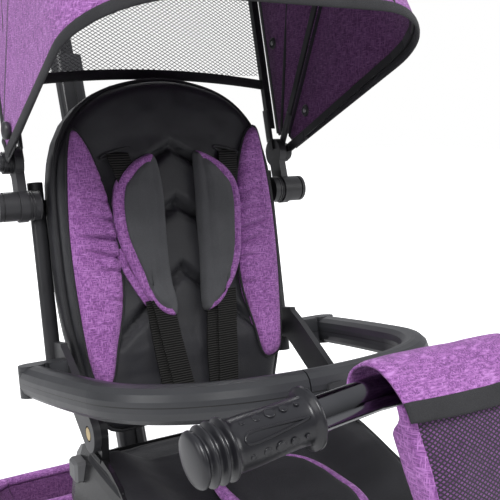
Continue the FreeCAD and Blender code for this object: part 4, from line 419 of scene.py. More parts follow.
def carried(mesh, path, up, width, thick, sides, is_loop=False):
    """Carries a flattened circle along a path, extruding it from point to point, and closes the ends.

    Up holds the way that the section's thickness looks at each point. A section with four sides lies on
    its flats."""
    reach, start = (math.sqrt(2), math.pi / 4) if sides == 4 else (1, math.pi / 2)
    places, n = [], len(path)
    for i, p in enumerate(path):
        after = path[(i + 1) % n] if is_loop else path[min(i + 1, n - 1)]
        before = path[i - 1] if is_loop else path[max(i - 1, 0)]
        way = (after - before).normalized()
        across = way.cross(up[i])
        across = across.normalized() if across.length > 1e-6 else way.orthogonal().normalized()
        normal = across.cross(way).normalized()
        section = Matrix((across * width, normal * thick, way)).transposed().to_4x4()
        places.append(Matrix.Translation(p) @ section @ Matrix.Rotation(-start, 4, "Z"))
    circle = bmesh.ops.create_circle(mesh, segments=sides, radius=reach, matrix=places[0])
    edges = first = list({e for v in circle["verts"] for e in v.link_edges})
    for here, there in zip(places, places[1:] + places[:1] * is_loop):
        moved, edges = drawn_out(mesh, edges)
        bmesh.ops.transform(mesh, matrix=there @ here.inverted(), verts=list(moved))
    if not is_loop:
        for ring in (first, edges):
            bmesh.ops.edgeloop_fill(mesh, edges=ring)


def tube(name, path, radius, paint, body, sides=8, is_loop=False, flat=1.0, up=Vector((0, 0, 1))):
    """A round or flattened rod along points in metres, with its radius in millimetres."""
    mesh = bmesh.new()
    ups = up if isinstance(up, list) else [up] * len(path)
    carried(mesh, path, ups, radius * MM, radius * flat * MM, sides, is_loop)
    return piece(name, mesh, paint, body)


def basket_level(z, inset):
    """One level of the tub as an even loop: it draws in towards the floor, most of all near the bottom."""
    share = (TUB_TOP - z) / (TUB_TOP - TUB_FLOOR)
    tuck = TUB_TUCK * (0.35 * min(share / 0.55, 1) + 0.65 * max(0, (share - 0.55) / 0.45))
    hx, corner = TUB_HALF - inset - tuck, TUB_CORNER - inset - tuck * 0.2
    y0, y1 = TUB_FRONT + inset + tuck * 0.15, TUB_BACK - inset - tuck * 0.45
    return rounded_loop(hx, y0, y1, corner, max(corner, 8), 6, 180)


def tub_row(z, inset):
    row = []
    for p in basket_level(z, inset):
        slack = ease(TUB_TOP - z, 0, 40) * ease(z, TUB_FLOOR, 20)
        ruck = (1.5 * fuzz(p.x, p.y, z * 0.6, 24, 4.0) + 0.5 * fuzz(p.x, p.y, z, 9, 2.0)) * slack
        out = Vector((p.x, p.y - TUB_MIDDLE_Y)).normalized() * (ruck - 1)
        row.append(ground(p.x + out.x, p.y + out.y, z))
    return row


ground = turned_frame(0, 0, 0)
PURPLE = melange("purple_melange", (0.17, 0.058, 0.21), (0.32, 0.118, 0.375), (0.53, 0.245, 0.60))
PURPLE_SHADE = melange("purple_in_shade", (0.095, 0.030, 0.110), (0.165, 0.058, 0.185), (0.27, 0.12, 0.295))
mesh, edges = skin([tub_row(z, TUB_LAYERS) for z in TUB_LEVELS[::-1]] + [tub_row(z, 0) for z in TUB_LEVELS])
bmesh.ops.edgeloop_fill(mesh, edges=edges)
bmesh.ops.edgeloop_fill(mesh, edges=[e for e in mesh.edges if e.is_boundary])
tub = piece("basket_cloth", mesh, PURPLE_SHADE, "rear_frame")
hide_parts("basket")

rim_path = [ground(p.x, p.y, TUB_TOP + ROLL_RISE + 0.8 * fuzz(p.x, p.y, 0, 30, 5.0))
            for p in basket_level(TUB_TOP, 0)]
rolled = tube("basket_rim_roll", rim_path, ROLL_RADIUS, PURPLE, "rear_frame", 12, True)
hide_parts("basket_rim")

# Seat bucket: one glossy black moulding on the frame, with a catch under it that holds the reclining back
# and a moulded buckle for the harness.
GLOSS_BLACK = moulded("gloss_black", (0.010, 0.010, 0.011), (0.016, 0.016, 0.017), 0.2, 0.3, 300, 0.00008,
                      specular=0.28)
BLOCK_GREY = moulded("grey_plastic", (0.10, 0.10, 0.105), (0.14, 0.14, 0.145), 0.4, 0.55)
dress(GLOSS_BLACK, "seat_shell")
dress(BLOCK_GREY, "recline_catch")
dress(SATIN_BLACK, "harness_buckle")


# Seat cushion: foam under a matte black cover, dished in the middle, with raised sides and a soft front roll.
# It fills the bucket, and a thin piping runs round its top seam.
SEAT_LEVEL, BOLSTER_RISE, KNEE_DROP, HIP_DROP, SEAT_LIP = 341, 22, 12, 23, 12
BUCKET_FLOOR, BUCKET_BELLY, BUCKET_TOP, BUCKET_HALF, BUCKET_FRONT, BUCKET_BACK = 252, 292, 372, 165, -252, 66
BUCKET_CORNER, FLOOR_DRAW, TOP_DRAW = 60, 46, 13
RIM_LEVELS = [(-302, 322), (-252, 328), (-189, 338), (-101, 366), (-38, 372), (0, 368), (36, 334), (56, 322),
              (92, 320)]
SEAT_RINGS, COVER_WALL, COVER_TOP, SEAT_PIPING = 24, 5.6, 330, 2.6


def cloth(name, dark, light, threads=700, roughness=0.8, specular=0.3):
    """Plain woven cloth with a fine weave and slow changes of tone."""
    paint = Paint(name, roughness, sheen=0.05, specular=specular)
    fine = paint.mottle(1100, 1)
    paint.colour(paint.ramp(paint.sum(paint.mottle(35, 5), 0.5, fine, 0.5), (0.3, dark), (0.7, light)))
    weave = paint.math("ADD", paint.ribs(threads, "Z"), paint.ribs(threads, "X"))
    paint.bump(paint.math("ADD", weave, fine), 0.3, 0.0004)
    return paint.made


def bucket_ring(z, wall):
    """One level of the seat bucket as an even loop of points, in millimetres."""
    if z < BUCKET_BELLY:
        drawn_in = FLOOR_DRAW * ((BUCKET_BELLY - z) / (BUCKET_BELLY - BUCKET_FLOOR)) ** 2
    else:
        drawn_in = TOP_DRAW * ((z - BUCKET_BELLY) / (BUCKET_TOP - BUCKET_BELLY)) ** 1.5
    edge = drawn_in + wall
    corner = BUCKET_CORNER - edge / 2
    return rounded_loop(BUCKET_HALF - edge, BUCKET_FRONT + edge, BUCKET_BACK - edge, corner, corner, 8, 160)


def seat_rim(y):
    """Height of the bucket's rim, from the knees back to the hips."""
    for (a, za), (b, zb) in zip(RIM_LEVELS, RIM_LEVELS[1:]):
        if y <= b:
            t = (y - a) / (b - a)
            return za + (zb - za) * t * t * (3 - 2 * t)
    return RIM_LEVELS[-1][1]


def seat_top(x, y, edge):
    """The cushion's top: a dished middle, bolsters at the sides and a soft front roll."""
    side = ease(abs(x), 80, 50)
    side = side * side * (3 - 2 * side)
    front, back = ease(-y, 150, 80), ease(y, -26, 44)
    bolster = BOLSTER_RISE * side * (1 - front) * (1 - back)
    level = SEAT_LEVEL + bolster - KNEE_DROP * front * front - HIP_DROP * back
    level += 2.2 * fuzz(x, y, 0, 60, 1.0) + 0.8 * fuzz(x, y, 0, 20, 7.0)
    lip = min(edge / SEAT_LIP, 1)
    rim = min(seat_rim(y) - 5, level)
    return rim + (level - rim) * lip + 5 * (math.sqrt(1 - (1 - lip) ** 2) - lip)


SEAT_CLOTH = cloth("seat_cloth", (0.010, 0.010, 0.012), (0.020, 0.020, 0.024), 700, 0.62)
BINDING = cloth("black_binding", (0.012, 0.012, 0.014), (0.030, 0.030, 0.033), 900, 0.65)
rows = []
for share in (j / SEAT_RINGS for j in range(SEAT_RINGS + 1)):
    row = []
    for p in bucket_ring(COVER_TOP, COVER_WALL):
        core = Vector((0, min(max(p.y, -140), -40)))
        q = core.lerp(p, share)
        row.append(ground(q.x, q.y, seat_top(q.x, q.y, (p - core).length * (1 - share))))
    rows.append(row)
brim = rows[-1]
for z in (318, 306, 292, 280, 268, 264):
    wall = bucket_ring(z, COVER_WALL)
    rows.append([ground(p.x, p.y, min(z, top.z / MM - 1)) for p, top in zip(wall, brim)])
mesh, edges = skin(rows)
bmesh.ops.edgeloop_fill(mesh, edges=edges)
seat = piece("seat_cushion", mesh, SEAT_CLOTH, "rear_frame")
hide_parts("seat_pad")

rim_path = [ground(p.x, p.y, seat_top(p.x, p.y, 0) + 0.5) for p in bucket_ring(340, 7)]
tube("seat_piping", rim_path, SEAT_PIPING, BINDING, "rear_frame", 10, True)


# Crotch pad: a padded black tongue that lies over the front of the seat cushion. A purple cloth tape binds
# its edge all round.
def pillow(name, outline, spine, height, place, paint, body, back=lambda x, z: 0, rings=16, seam=0.0,
           band=0.0, bound=(), second=None):
    """A sewn pad: its skin grows from a spine out to the seam, down the seam and in under its back.

    The outermost rings can be a band of a second cloth along the bound part of the outline."""
    start, along = Vector(spine[0]), Vector(spine[1]) - Vector(spine[0])
    band_rings = 5
    cores = [start + along * min(max((p - start).dot(along) / along.length_squared, 0), 1) for p in outline]
    rows = []
    for j in range(rings + 1):
        row = []
        for p, core in zip(outline, cores):
            reach, share = (p - core).length, j / rings
            if band:
                hem, inner = min(band / reach, 0.6), rings - band_rings
                share = (1 - hem) * j / inner if j <= inner else 1 - hem * (rings - j) / band_rings
            q = core.lerp(p, share)
            row.append((q, height(q.x, q.y, reach * (1 - share))))
        rows.append(row)
    brim = rows[-1]
    for drop in (1 / 3, 2 / 3, 1):
        row = []
        for i, p in enumerate(outline):
            out = (p - outline[i - 1]).orthogonal().normalized()
            top, low = brim[i][1], back(p.x, p.y)
            row.append((p + out * (seam * math.sin(math.pi * drop)), top + (low - top) * drop))
        rows.append(row)
    for share in (0.6, 0.25):
        rows.append([(q, back(q.x, q.y)) for q in (core.lerp(p, share) for p, core in zip(outline, cores))])
    mesh, _ = skin([[place(q.x, -h, q.y) for q, h in row] for row in rows],
                   is_second=lambda j, i: bool(band) and j >= rings - band_rings and i in bound)
    return piece(name, mesh, paint, body, second=second)


def plump(edge, lip):
    """How full a pad stands at a distance from its seam, as a share of its height."""
    return math.sqrt(1 - (1 - min(edge / lip, 1)) ** 2)


CROTCH_LEVEL, CROTCH_DROP, CROTCH_LOFT, CROTCH_LIP, CROTCH_TAPE, TAPE_FLAT = 346, 20, 9, 11, 7.8, 0.62
CROTCH = [(-30, -112), (-48, -125), (-56, -150), (-57, -190), (-56, -232), (-46, -252), (0, -258), (46, -252),
          (56, -232), (57, -190), (56, -150), (48, -125), (30, -112), (0, -108)]
crotch_loop = smooth_loop(CROTCH, 150)


def crotch_line(y):
    """Height of the tongue's middle, over the cushion and down the front roll."""
    return CROTCH_LEVEL + 2 * math.sin((y + 110) / -60) - CROTCH_DROP * ease(-y, 205, 55) ** 2


def crotch_height(x, z, edge):
    return crotch_line(z) + 2 + CROTCH_LOFT * plump(edge, CROTCH_LIP) + 0.9 * fuzz(x, 0, z, 26, 9.0)


crotch = pillow("crotch_cushion", crotch_loop, ((0, -215), (0, -150)), crotch_height,
                lambda x, y, z: ground(x, z, -y), SEAT_CLOTH, "rear_frame",
                back=lambda x, z: crotch_line(z) - 4, rings=14, seam=0.6)
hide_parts("crotch_pad")
edge_path = [ground(p.x, p.y, crotch_line(p.y) + 3.5) for p in crotch_loop]
tube("crotch_binding", edge_path, CROTCH_TAPE, PURPLE, "rear_frame", 12, True, TAPE_FLAT)

# Backrest frame: a coated steel hoop between two moulded brackets on brass bolts. The moulded shell of the
# back hangs in it.
BRASS = moulded("brass_bolt", (0.45, 0.33, 0.14), (0.62, 0.46, 0.20), 0.22, 0.35, 600, 0.0001, 0.0, 1.0)
dress(STEEL_PAINT, "backrest_frame")
dress(SATIN_BLACK, "side_brackets", "backrest_shell")
dress(BRASS, "recline_bolts")

# Backrest cushion: foam under a sleek black cover, sewn through in chevrons between the straps. Its seam is
# piped, and the edge of the cover folds back round the shell.
REST_SIDE = [(106, 2), (124, 40), (136, 90), (144, 150), (146, 220), (144, 290), (135, 335), (116, 370),
             (87, 395), (47, 410)]
REST_FRONT, SHELL_FACE, REST_CROWN, REST_LIP, REST_PIPING = 20, 6, 2800, 16, 2.7
QUILT_HALF, QUILT_LOFT, QUILT_DEPTH, SEAM_HALF = 74, 5.0, 9.0, 4.0
CHEVRONS = ((333, 0.62, 62), (262, 0.62, 62), (181, 0.86, 112))
rest = turned_frame(22, 360, 12.1)
other_side = [(-x, z) for x, z in REST_SIDE[::-1]]
rest_outline = smooth_loop(REST_SIDE + [(0, 416)] + other_side + [(-50, 0), (50, 0)], 220)


def on_rest(x, y, z):
    return rest(x, REST_FRONT + y, z)


def rest_base(x):
    """How far the front of the cushion stands before the shell, without its padding."""
    return REST_FRONT - x * x / REST_CROWN


def before_rest(p, lift):
    """A point that stands a little before the cushion's own surface."""
    return on_rest(p.x, -rest_base(p.x) - lift, p.y)


def from_chevron(x, z, peak, slope):
    return abs(z - (peak - slope * abs(x)))


def channel(x, z):
    """Depth share of the sewn chevrons: 1 on a seam and 0 away from it."""
    share = 0.0
    for peak, slope, reach in CHEVRONS:
        off = from_chevron(x, z, peak, slope) / math.hypot(1, slope)
        share = max(share, math.exp(-(off / SEAM_HALF) ** 2) * ease(reach - abs(x), 0, 18))
    return share


def rest_height(x, z, edge):
    full = rest_base(x) + 3.2 * fuzz(x, 0, z, 95, 3.1)
    full += 0.8 * fuzz(x, 0, z, 24, 8.0) + 0.25 * fuzz(x, 0, z, 9)
    near = min(min(from_chevron(x, z, peak, slope) for peak, slope, _ in CHEVRONS) / 16, 1)
    quilt_half = QUILT_HALF + min(max(150 - z, 0) / 2, 24)
    inside = ease(quilt_half - abs(x), 0, 16) * ease(345 - z, 0, 20) * ease(z, 60, 30)
    full += inside * (QUILT_LOFT * math.sin(near * math.pi / 2) - QUILT_DEPTH * channel(x, z) - 1.5)
    full += 2.5 * ease(z, 335, 40)
    return SHELL_FACE + (full - SHELL_FACE) * plump(edge, REST_LIP)


BLACK_CLOTH = cloth("black_cloth", (0.007, 0.007, 0.009), (0.018, 0.018, 0.023), 700, 0.40, 0.45)
pad = pillow("backrest_cushion", rest_outline, ((0, 110), (0, 300)), rest_height, on_rest, BLACK_CLOTH,
             "backrest", rings=34, seam=1.5)
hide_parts("backrest_pad")
cord_path = [rest(p.x * 1.004, REST_FRONT - 6.5, p.y * 1.002) for p in rest_outline]
tube("backrest_piping", cord_path, REST_PIPING, BINDING, "backrest", 10, True)

COVER_ROWS = ((15.5, 0.6), (18, 3.2), (26, 4.4), (36, 4.2), (45, 2.8), (46.5, -6))
rows = []
for depth, grow in COVER_ROWS:
    row = []
    for p in rest_outline:
        ruck = 0.7 * fuzz(p.x, depth * 2, p.y, 22, 5.0)
        away = p.normalized() if p.y > 330 else Vector((math.copysign(1, p.x) if abs(p.x) > 60 else 0, 0))
        if p.y < 20:
            away = Vector((0, -0.1))
        q = p + away * (grow + ruck)
        row.append(rest(q.x, depth, max(q.y, 0.5)))
    rows.append(row)
mesh, _ = skin(rows)
cover = piece("backrest_cover_edge", mesh, BLACK_CLOTH, "backrest")

# Side panels: two long padded leaves of purple melange cloth, sewn on along the edge of the back. The cloth
# is rucked where it meets the black middle, and a dark seam runs round each leaf.
LEAF = [(-121, 355), (-128, 330), (-133, 290), (-136, 240), (-136, 190), (-133, 130), (-128, 80), (-120, 58),
        (-104, 57), (-93, 96), (-81, 145), (-78, 190), (-80, 235), (-87, 280), (-98, 320), (-111, 348)]
LEAF_MIDDLE, LEAF_RIM, LEFT_WIDER, LEAF_LOFT, LEAF_LIP, LEAF_SEAM = 112, -119, 5, 11, 15, 1.5
CREASES = ((246, 5.6, 44), (222, 7.2, 60), (203, 6.0, 50), (184, 4.4, 36), (268, 4.0, 40), (150, 2.8, 30),
           (292, 2.8, 30))


def leaf_height(x, z, edge):
    full = LEAF_LOFT * plump(edge, LEAF_LIP)
    for crease, depth, run in CREASES:
        line = crease + 0.20 * (abs(x) - 80) + 2.5 * fuzz(x, crease, 0, 18, 5.0)
        reach = ease(78 + run - abs(x), 0, run * 0.6) * min(edge / 3, 1)
        full -= depth * reach * math.exp(-((z - line) / 2.2) ** 2)
        full += depth * 0.5 * reach * math.exp(-((z - line - 7) / 4.5) ** 2)
    full += (0.9 * fuzz(x, 0, z, 30, 2.0) + 0.35 * fuzz(x, 0, z, 10, 4.0)) * min(edge / LEAF_LIP, 1)
    return rest_base(x) - 1 + max(full, 0)


for side, sign, wider in (("right", 1, 0), ("left", -1, LEFT_WIDER)):
    shape = smooth_loop([(x * sign + (wider if x < LEAF_RIM else 0), z) for x, z in LEAF], 400)
    spine = ((-LEAF_MIDDLE * sign, 110), (-LEAF_MIDDLE * sign, 300))
    leaf = pillow(f"side_panel_{side}", shape, spine, leaf_height, on_rest, PURPLE, "backrest",
                  back=lambda x, z: rest_base(x) - 3, rings=22, seam=0.6)
    if side == "right":
        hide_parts("side_panels")
    seam_path = [before_rest(p, 2.6) for p in shape[::2]]
    tube(f"side_panel_seam_{side}", seam_path, LEAF_SEAM, BINDING, "backrest", 8, True)

# Shoulder pads: two flaps of soft dark grey cloth over foam that slide on the harness. The curved edge of
# each is bound in purple melange cloth with a sunk row of stitches.
BAND_WIDTH, FLAP_POINTS, FLAP_LOFT, FLAP_LIP, STITCH_DEPTH = 12, 140, 7.5, 7, 1.6
FLAPS = {
    "right": ([(-27, 322), (-45, 318), (-63, 306), (-76, 290), (-82, 268), (-83, 246), (-80, 222), (-72, 196),
               (-61, 168), (-49, 145), (-35, 130), (-19, 125), (-15, 140), (-19, 170), (-20, 205), (-19, 240),
               (-18, 270), (-20, 300)], 11, 4),
    "left": ([(31, 324), (50, 318), (71, 304), (84, 284), (88, 259), (85, 227), (81, 196), (72, 171),
              (57, 149), (42, 133), (24, 126), (20, 140), (22, 170), (24, 201), (25, 238), (27, 275),
              (28, 304)], 10, -4),
}


def flap_height(x, z, edge):
    stitch = math.exp(-((edge - BAND_WIDTH) / 1.4) ** 2) * ease(abs(x), 34, 14)
    full = FLAP_LOFT * plump(edge, FLAP_LIP) - STITCH_DEPTH * stitch + 2.5 * ease(edge, BAND_WIDTH, 9)
    slack = 1.4 * fuzz(x, 0, z, 34, 6.0) + 0.6 * fuzz(x, 3, z, 12)
    return rest_base(x) + 7 + full + slack * min(edge / 12, 1)


PAD_CLOTH = cloth("pad_cloth", (0.060, 0.061, 0.066), (0.092, 0.093, 0.099), 900, 0.8)
for side, (points, last, shift) in FLAPS.items():
    shape = smooth_loop(points, FLAP_POINTS)
    middle = (points[4][0] + points[-3][0]) / 2
    first_bound, last_bound = (min(range(FLAP_POINTS), key=lambda i: (shape[i] - Vector(points[k])).length)
                               for k in (0, last))
    flap = pillow(f"shoulder_pad_{side}", shape, ((middle + shift, 165), (middle, 285)), flap_height, on_rest,
                  PAD_CLOTH, "backrest", back=lambda x, z: rest_base(x) + 1.5, rings=19,
                  seam=0.8, band=BAND_WIDTH, bound=set(range(first_bound, last_bound)), second=PURPLE)
    if side == "right":
        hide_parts("shoulder_pads")


# Harness: black webbing 26 mm wide, woven with a rib every few millimetres. It leaves two stitched slits in
# the back, runs under the shoulder pads and down into the seat, two layers on each side.
def ribbed_web_painted_rib_light():
    paint = Paint("webbing", 0.6, specular=0.2)
    ribs = paint.ribs(112, "Z")
    # The colour is lighter on each rib and darker between ribs, a painted highlight and painted shade, mixed
    # with a little random mottle.
    tone = paint.sum(ribs, 0.75, paint.mottle(1500, 1), 0.25)
    paint.colour(paint.ramp(tone, (0.3, (0.003, 0.003, 0.003)), (0.9, (0.030, 0.029, 0.027))))
    paint.bump(ribs, 0.8, 0.0009)
    return paint.made


def strap(name, path, width, thick, up, paint, body):
    """Flat webbing with square edges along points in metres, its width and thickness in millimetres."""
    mesh = bmesh.new()
    carried(mesh, path, up, width / 2 * MM, thick / 2 * MM, 4)
    return piece(name, mesh, paint, body, is_smooth=False)


WEB_WIDTH, WEB_THICKNESS, WEB_POINTS, SLEEVE_POINTS = 26, 1.8, 36, 30
RUNS = {
    "webbing_upper_right": [(-70, 329, -1), (-69, 321, 5), (-66, 308, 8), (-61, 290, 10)],
    "webbing_upper_left": [(79, 328, -1), (78, 319, 5), (75, 305, 8), (70, 288, 10)],
    "webbing_lower_right": [(-38, 150, 13), (-33, 130, 11), (-28, 100, 9), (-21, 60, 8.5), (-14, 20, 9),
                            (-10, -3, 11)],
    "webbing_under_right": [(-43, 148, 9), (-40, 120, 7), (-36, 80, 6), (-31, 40, 6), (-27, 12, 7)],
    "webbing_lower_left": [(51, 150, 13), (51, 130, 11), (49, 100, 9), (46, 60, 8.5), (41, 20, 9),
                           (36, -3, 11)],
    "webbing_under_left": [(40, 148, 9), (37, 120, 7), (33, 80, 6), (31, 40, 6), (30, 12, 7)],
}
SLEEVE_EDGE = [(-77, 212, 3), (-72, 190, 4.5), (-62, 168, 5), (-51, 149, 5), (-41, 134, 4), (-37, 127, 3)]
SLEEVE_WIDTH, SLEEVE_THICKNESS = 8, 3.5
SLOTS = {"right": (-71, 326, -0.28), "left": (79, 325, 0.26)}
SLOT_HALF, SLOT_OPEN, SLOT_LIP = 19, 3.0, 1.8
WEB = ribbed_web_painted_rib_light()
forward = (rest(0, -50, 0) - rest(0, 0, 0)).normalized()

# The pad's sleeve is cut wider than the pad itself, so its far edge shows as a second purple band below it.
layer = smooth_loop(SLEEVE_EDGE, SLEEVE_POINTS, False)
path = [on_rest(p.x - 3, -rest_base(p.x) - p.z, p.y) for p in layer]
strap("shoulder_sleeve_edge", path, SLEEVE_WIDTH, SLEEVE_THICKNESS, [forward] * SLEEVE_POINTS, PURPLE,
      "backrest")
for name, run in RUNS.items():
    path = [before_rest(p, p.z) for p in smooth_loop(run, WEB_POINTS, False)]
    strap(name, path, WEB_WIDTH, WEB_THICKNESS, [forward] * WEB_POINTS, WEB, "backrest")
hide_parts("harness_webbing")
for side, (x, z, lean) in SLOTS.items():
    path = []
    for turn in (math.tau * i / 40 for i in range(40)):
        along, across = SLOT_HALF * math.cos(turn), SLOT_OPEN * math.sin(turn)
        path.append(before_rest(Vector((x + along, z - along * lean + across)), 1.2))
    tube(f"strap_slot_{side}", path, SLOT_LIP, BINDING, "backrest", 8, True)


# Safety bar: two halves moulded in dark grey plastic, each swinging on a socket beside the back. A parting
# line of the mould runs along the middle of their height, and the left half holds the release button.
def parted_plastic(lean, level):
    paint = Paint("matte_dark_grey", 0.44)
    plastic = paint.ramp(paint.mottle(14, 4), (0.3, (0.023, 0.024, 0.027)), (0.7, (0.036, 0.037, 0.041)))
    height = paint.node("ShaderNodeVectorMath", operation="DOT_PRODUCT")
    height.inputs[1].default_value = (0, math.sin(lean), math.cos(lean))
    paint.link(paint.place, height.inputs[0])
    off = paint.math("ABSOLUTE", paint.math("SUBTRACT", height.outputs["Value"], level), 0)
    line = paint.math("LESS_THAN", off, 0.0005)
    paint.colour(paint.lined(plastic, line, (0.004, 0.004, 0.004)))
    paint.rough(paint.mottle(45, 5), 0.27, 0.42)
    paint.bump(paint.math("SUBTRACT", paint.math("MULTIPLY", paint.mottle(700, 2), 0.5), line), 0.3, 0.0005)
    return paint.made


BAR_LEAN, PARTING_LEVEL = math.radians(10.7), 0.43571
dress(parted_plastic(BAR_LEAN, PARTING_LEVEL), "bar_arm_left", "bar_arm_right", "bar_sockets")
dress(SATIN_BLACK, "bar_button")

# Canopy carriers: moulded barrels on the brackets beside the back, with three turned rings in the grooves of
# each. Moulded arms and three flat steel bows swing on them.
BARREL_Y, BARREL_Z, RING_PLACES = 112, 620, (158, 166, 169)
RING = [(17.0, 0), (17.5, 0.4), (17.5, 1.2), (17.0, 1.6)]


def spun(mesh, at, axis, profile, sides=28):
    """Spins a profile of (radius, height) in millimetres round an axis, and closes both ends."""
    axis = axis.normalized()
    side = axis.orthogonal().normalized()
    points = [mesh.verts.new(at + axis * (height * MM) + side * (radius * MM)) for radius, height in profile]
    edges = [mesh.edges.new(pair) for pair in zip(points, points[1:])]
    bmesh.ops.spin(mesh, geom=points + edges, cent=at, axis=axis, angle=math.tau, steps=sides, use_merge=True)
    bmesh.ops.edgeloop_fill(mesh, edges=[e for e in mesh.edges if e.is_boundary])
    return mesh


dress(SATIN_BLACK, "canopy_barrels", "canopy_arms")
dress(STEEL_PAINT, "canopy_bow_rear", "canopy_bow_mid", "canopy_bow_front")
for side, sign in (("left", 1), ("right", -1)):
    mesh = bmesh.new()
    for along in RING_PLACES:
        spun(mesh, ground(0, BARREL_Y, BARREL_Z), Vector((sign, 0, 0)), [(r, along + h) for r, h in RING], 48)
    piece(f"barrel_rings_{side}", mesh, STEEL_PAINT, "backrest")

# Canopy sheets: purple melange cloth, stretched from bow to bow and drawn in a little between them. Their
# inner face takes a darker copy of the same cloth as painted shade. The middle sheet folds with the middle
# bow and the front sheet with the front bow.
HUB_Y, HUB_Z, SHEET_LOW, SHEET_ROWS, SHEET_POINTS = 129, 669, 28, 30, 120
SHEET_SAG, SHEET_THICKNESS = 4.5, 1.4
hood = turned_frame(HUB_Y, HUB_Z, 0)


def hoop_points(half, reach, corner, low, count=90):
    """The open line of a bow in its own plane: sideways and outward, in millimetres."""
    spring, flat = reach - corner, half - corner
    bend = [math.pi / 2 * k / 14 for k in range(14)]
    line = [Vector((-half, low + (spring - low) * k / 20)) for k in range(20)]
    line += [Vector((-flat - corner * math.cos(t), spring + corner * math.sin(t))) for t in bend]
    line += [Vector((2 * flat * k / 24 - flat, reach)) for k in range(24)]
    line += [Vector((flat + corner * math.sin(t), spring + corner * math.cos(t))) for t in bend]
    line += [Vector((half, spring - (spring - low) * k / 20)) for k in range(21)]
    return evenly(line, count)


def on_hood(p, angle):
    """A point of a bow's plane, with the plane standing at an angle up from the front."""
    a = math.radians(angle)
    return hood(p.x, -p.y * math.cos(a), p.y * math.sin(a))


def thicken(made, thickness):
    """Gives a cloth its thickness, in millimetres, half on each side of its surface."""
    shell = made.modifiers.new("thickness", "SOLIDIFY")
    shell.thickness, shell.offset = thickness * MM, 0
    return shell


SHEETS = {
    "canopy_sheet_mid": (187.4, 350.4, 96.4, 66, 106, "canopy_mid", "canopy_skin_mid"),
    "canopy_sheet_front": (193.4, 356.4, 102.4, 27, 67, "canopy_front", "canopy_skin_front"),
}
# A darker copy of the purple cloth for the canopy's inner face: painted shade inside the hood.
PURPLE_PAINTED_SHADE = melange("purple_inside_painted_shade", (0.075, 0.022, 0.085), (0.14, 0.050, 0.155), (0.23, 0.105, 0.25))
for name, (half, reach, corner, start, end, body, node_name) in SHEETS.items():
    rows = []
    for share in (j / SHEET_ROWS for j in range(SHEET_ROWS + 1)):
        angle, sag, row = start + (end - start) * share, math.sin(math.pi * share), []
        for p in hoop_points(half, reach, corner, SHEET_LOW, SHEET_POINTS):
            wave = 2.6 * fuzz(p.x, angle * 4, p.y, 70, 2.0) + 0.9 * fuzz(p.x, angle * 4, p.y, 18, 6.0)
            inward = max((SHEET_SAG + wave) * sag, 0) * (0.35 + 0.65 * ease(p.y, 0, reach))
            aside = math.copysign(min(inward * 0.6, 6), p.x) * min(abs(p.x) / half, 1)
            down = inward * (1 if p.y > reach - corner else 0.3)
            row.append(on_hood(Vector((p.x - aside, p.y - down)), angle))
        rows.append(row)
    mesh, _ = skin(rows, is_closed=False)
    sheet = piece(name, mesh, PURPLE, body, second=PURPLE_PAINTED_SHADE)
    thicken(sheet, SHEET_THICKNESS).material_offset = 1
    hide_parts(node_name)


# Canopy edges: black tape folded over every free edge of the cloth and sewn down, a rib inside the middle
# sheet, and a flat band of tape that joins the hood to the rear bow.
def bound_edge(name, half, reach, corner, angle, body, width, flat):
    line = hoop_points(half, reach, corner, SHEET_LOW)
    up = []
    for before, after in zip(line[:1] + line, line[1:] + line[-1:]):
        way = after - before
        up.append(on_hood(Vector((-way.y, way.x)), angle) - on_hood(Vector((0, 0)), angle))
    path = [on_hood(p, angle) for p in line]
    return tube(name, path, width, BINDING, body, 10, flat=flat, up=up)


EDGES = {
    "canopy_binding_front": (193.8, 356.8, 102.8, 26.4, "canopy_front", 6.2, 0.36),
    "canopy_binding_mid": (192.8, 355.8, 101.8, 66.8, "canopy_front", 5.0, 0.26),
    "canopy_binding_rear": (187.8, 350.8, 96.8, 105.8, "canopy_mid", 5.4, 0.36),
    "canopy_rib_inside": (185.6, 348.6, 94.6, 86, "canopy_mid", 3.4, 0.3),
}
LOW_EDGES = (("mid", 187.6, 81, 106, "canopy_mid"), ("front", 193.6, 28, 67, "canopy_front"))
LOW_TAPE = 4.2
for name, values in EDGES.items():
    bound_edge(name, *values)
for side, sign in (("left", 1), ("right", -1)):
    for tag, half, start, end, body in LOW_EDGES:
        foot = Vector((half * sign, SHEET_LOW))
        path = [on_hood(foot, start + (end - start) * k / 16) for k in range(17)]
        tube(f"canopy_binding_low_{tag}_{side}", path, LOW_TAPE, BINDING, body, 10, flat=0.4,
             up=Vector((sign, 0, 0)))

BAND_ANGLE, BAND_LOW, BAND_FLAT_WIDTH, BAND_THICKNESS = 105.4, 34, 11.3, 1.6
inner = hoop_points(171.5, 337, 83, BAND_LOW)
outer = hoop_points(181.7, 345.8, 92.4, BAND_LOW)
mesh, _ = skin([[on_hood(p, BAND_ANGLE) for p in line] for line in (inner, outer)], is_closed=False)
band = piece("canopy_rear_band", mesh, BINDING, "canopy_frame")
thicken(band, BAND_THICKNESS)

# Bow sockets: flat sleeves of black plastic, pushed over each bow's foot at the hub.
# They lie beside one another, so that they pass when the canopy folds.
SOCKETS = (("front", 190.9, 27, "canopy_front"), ("mid", 184.6, 66, "canopy_mid"),
           ("rear", 170.6, 106, "canopy_frame"))
SOCKET_START, SOCKET_STEP, SOCKET_HALF, SOCKET_FLAT = 16, 4, 6.8, 0.35
for side, sign in (("left", 1), ("right", -1)):
    for tag, half, angle, body in SOCKETS:
        path = [on_hood(Vector((half * sign, SOCKET_START + SOCKET_STEP * k)), angle) for k in range(12)]
        tube(f"bow_socket_{tag}_{side}", path, SOCKET_HALF, SATIN_BLACK, body, 16,
             flat=SOCKET_FLAT, up=Vector((sign, 0, 0)))

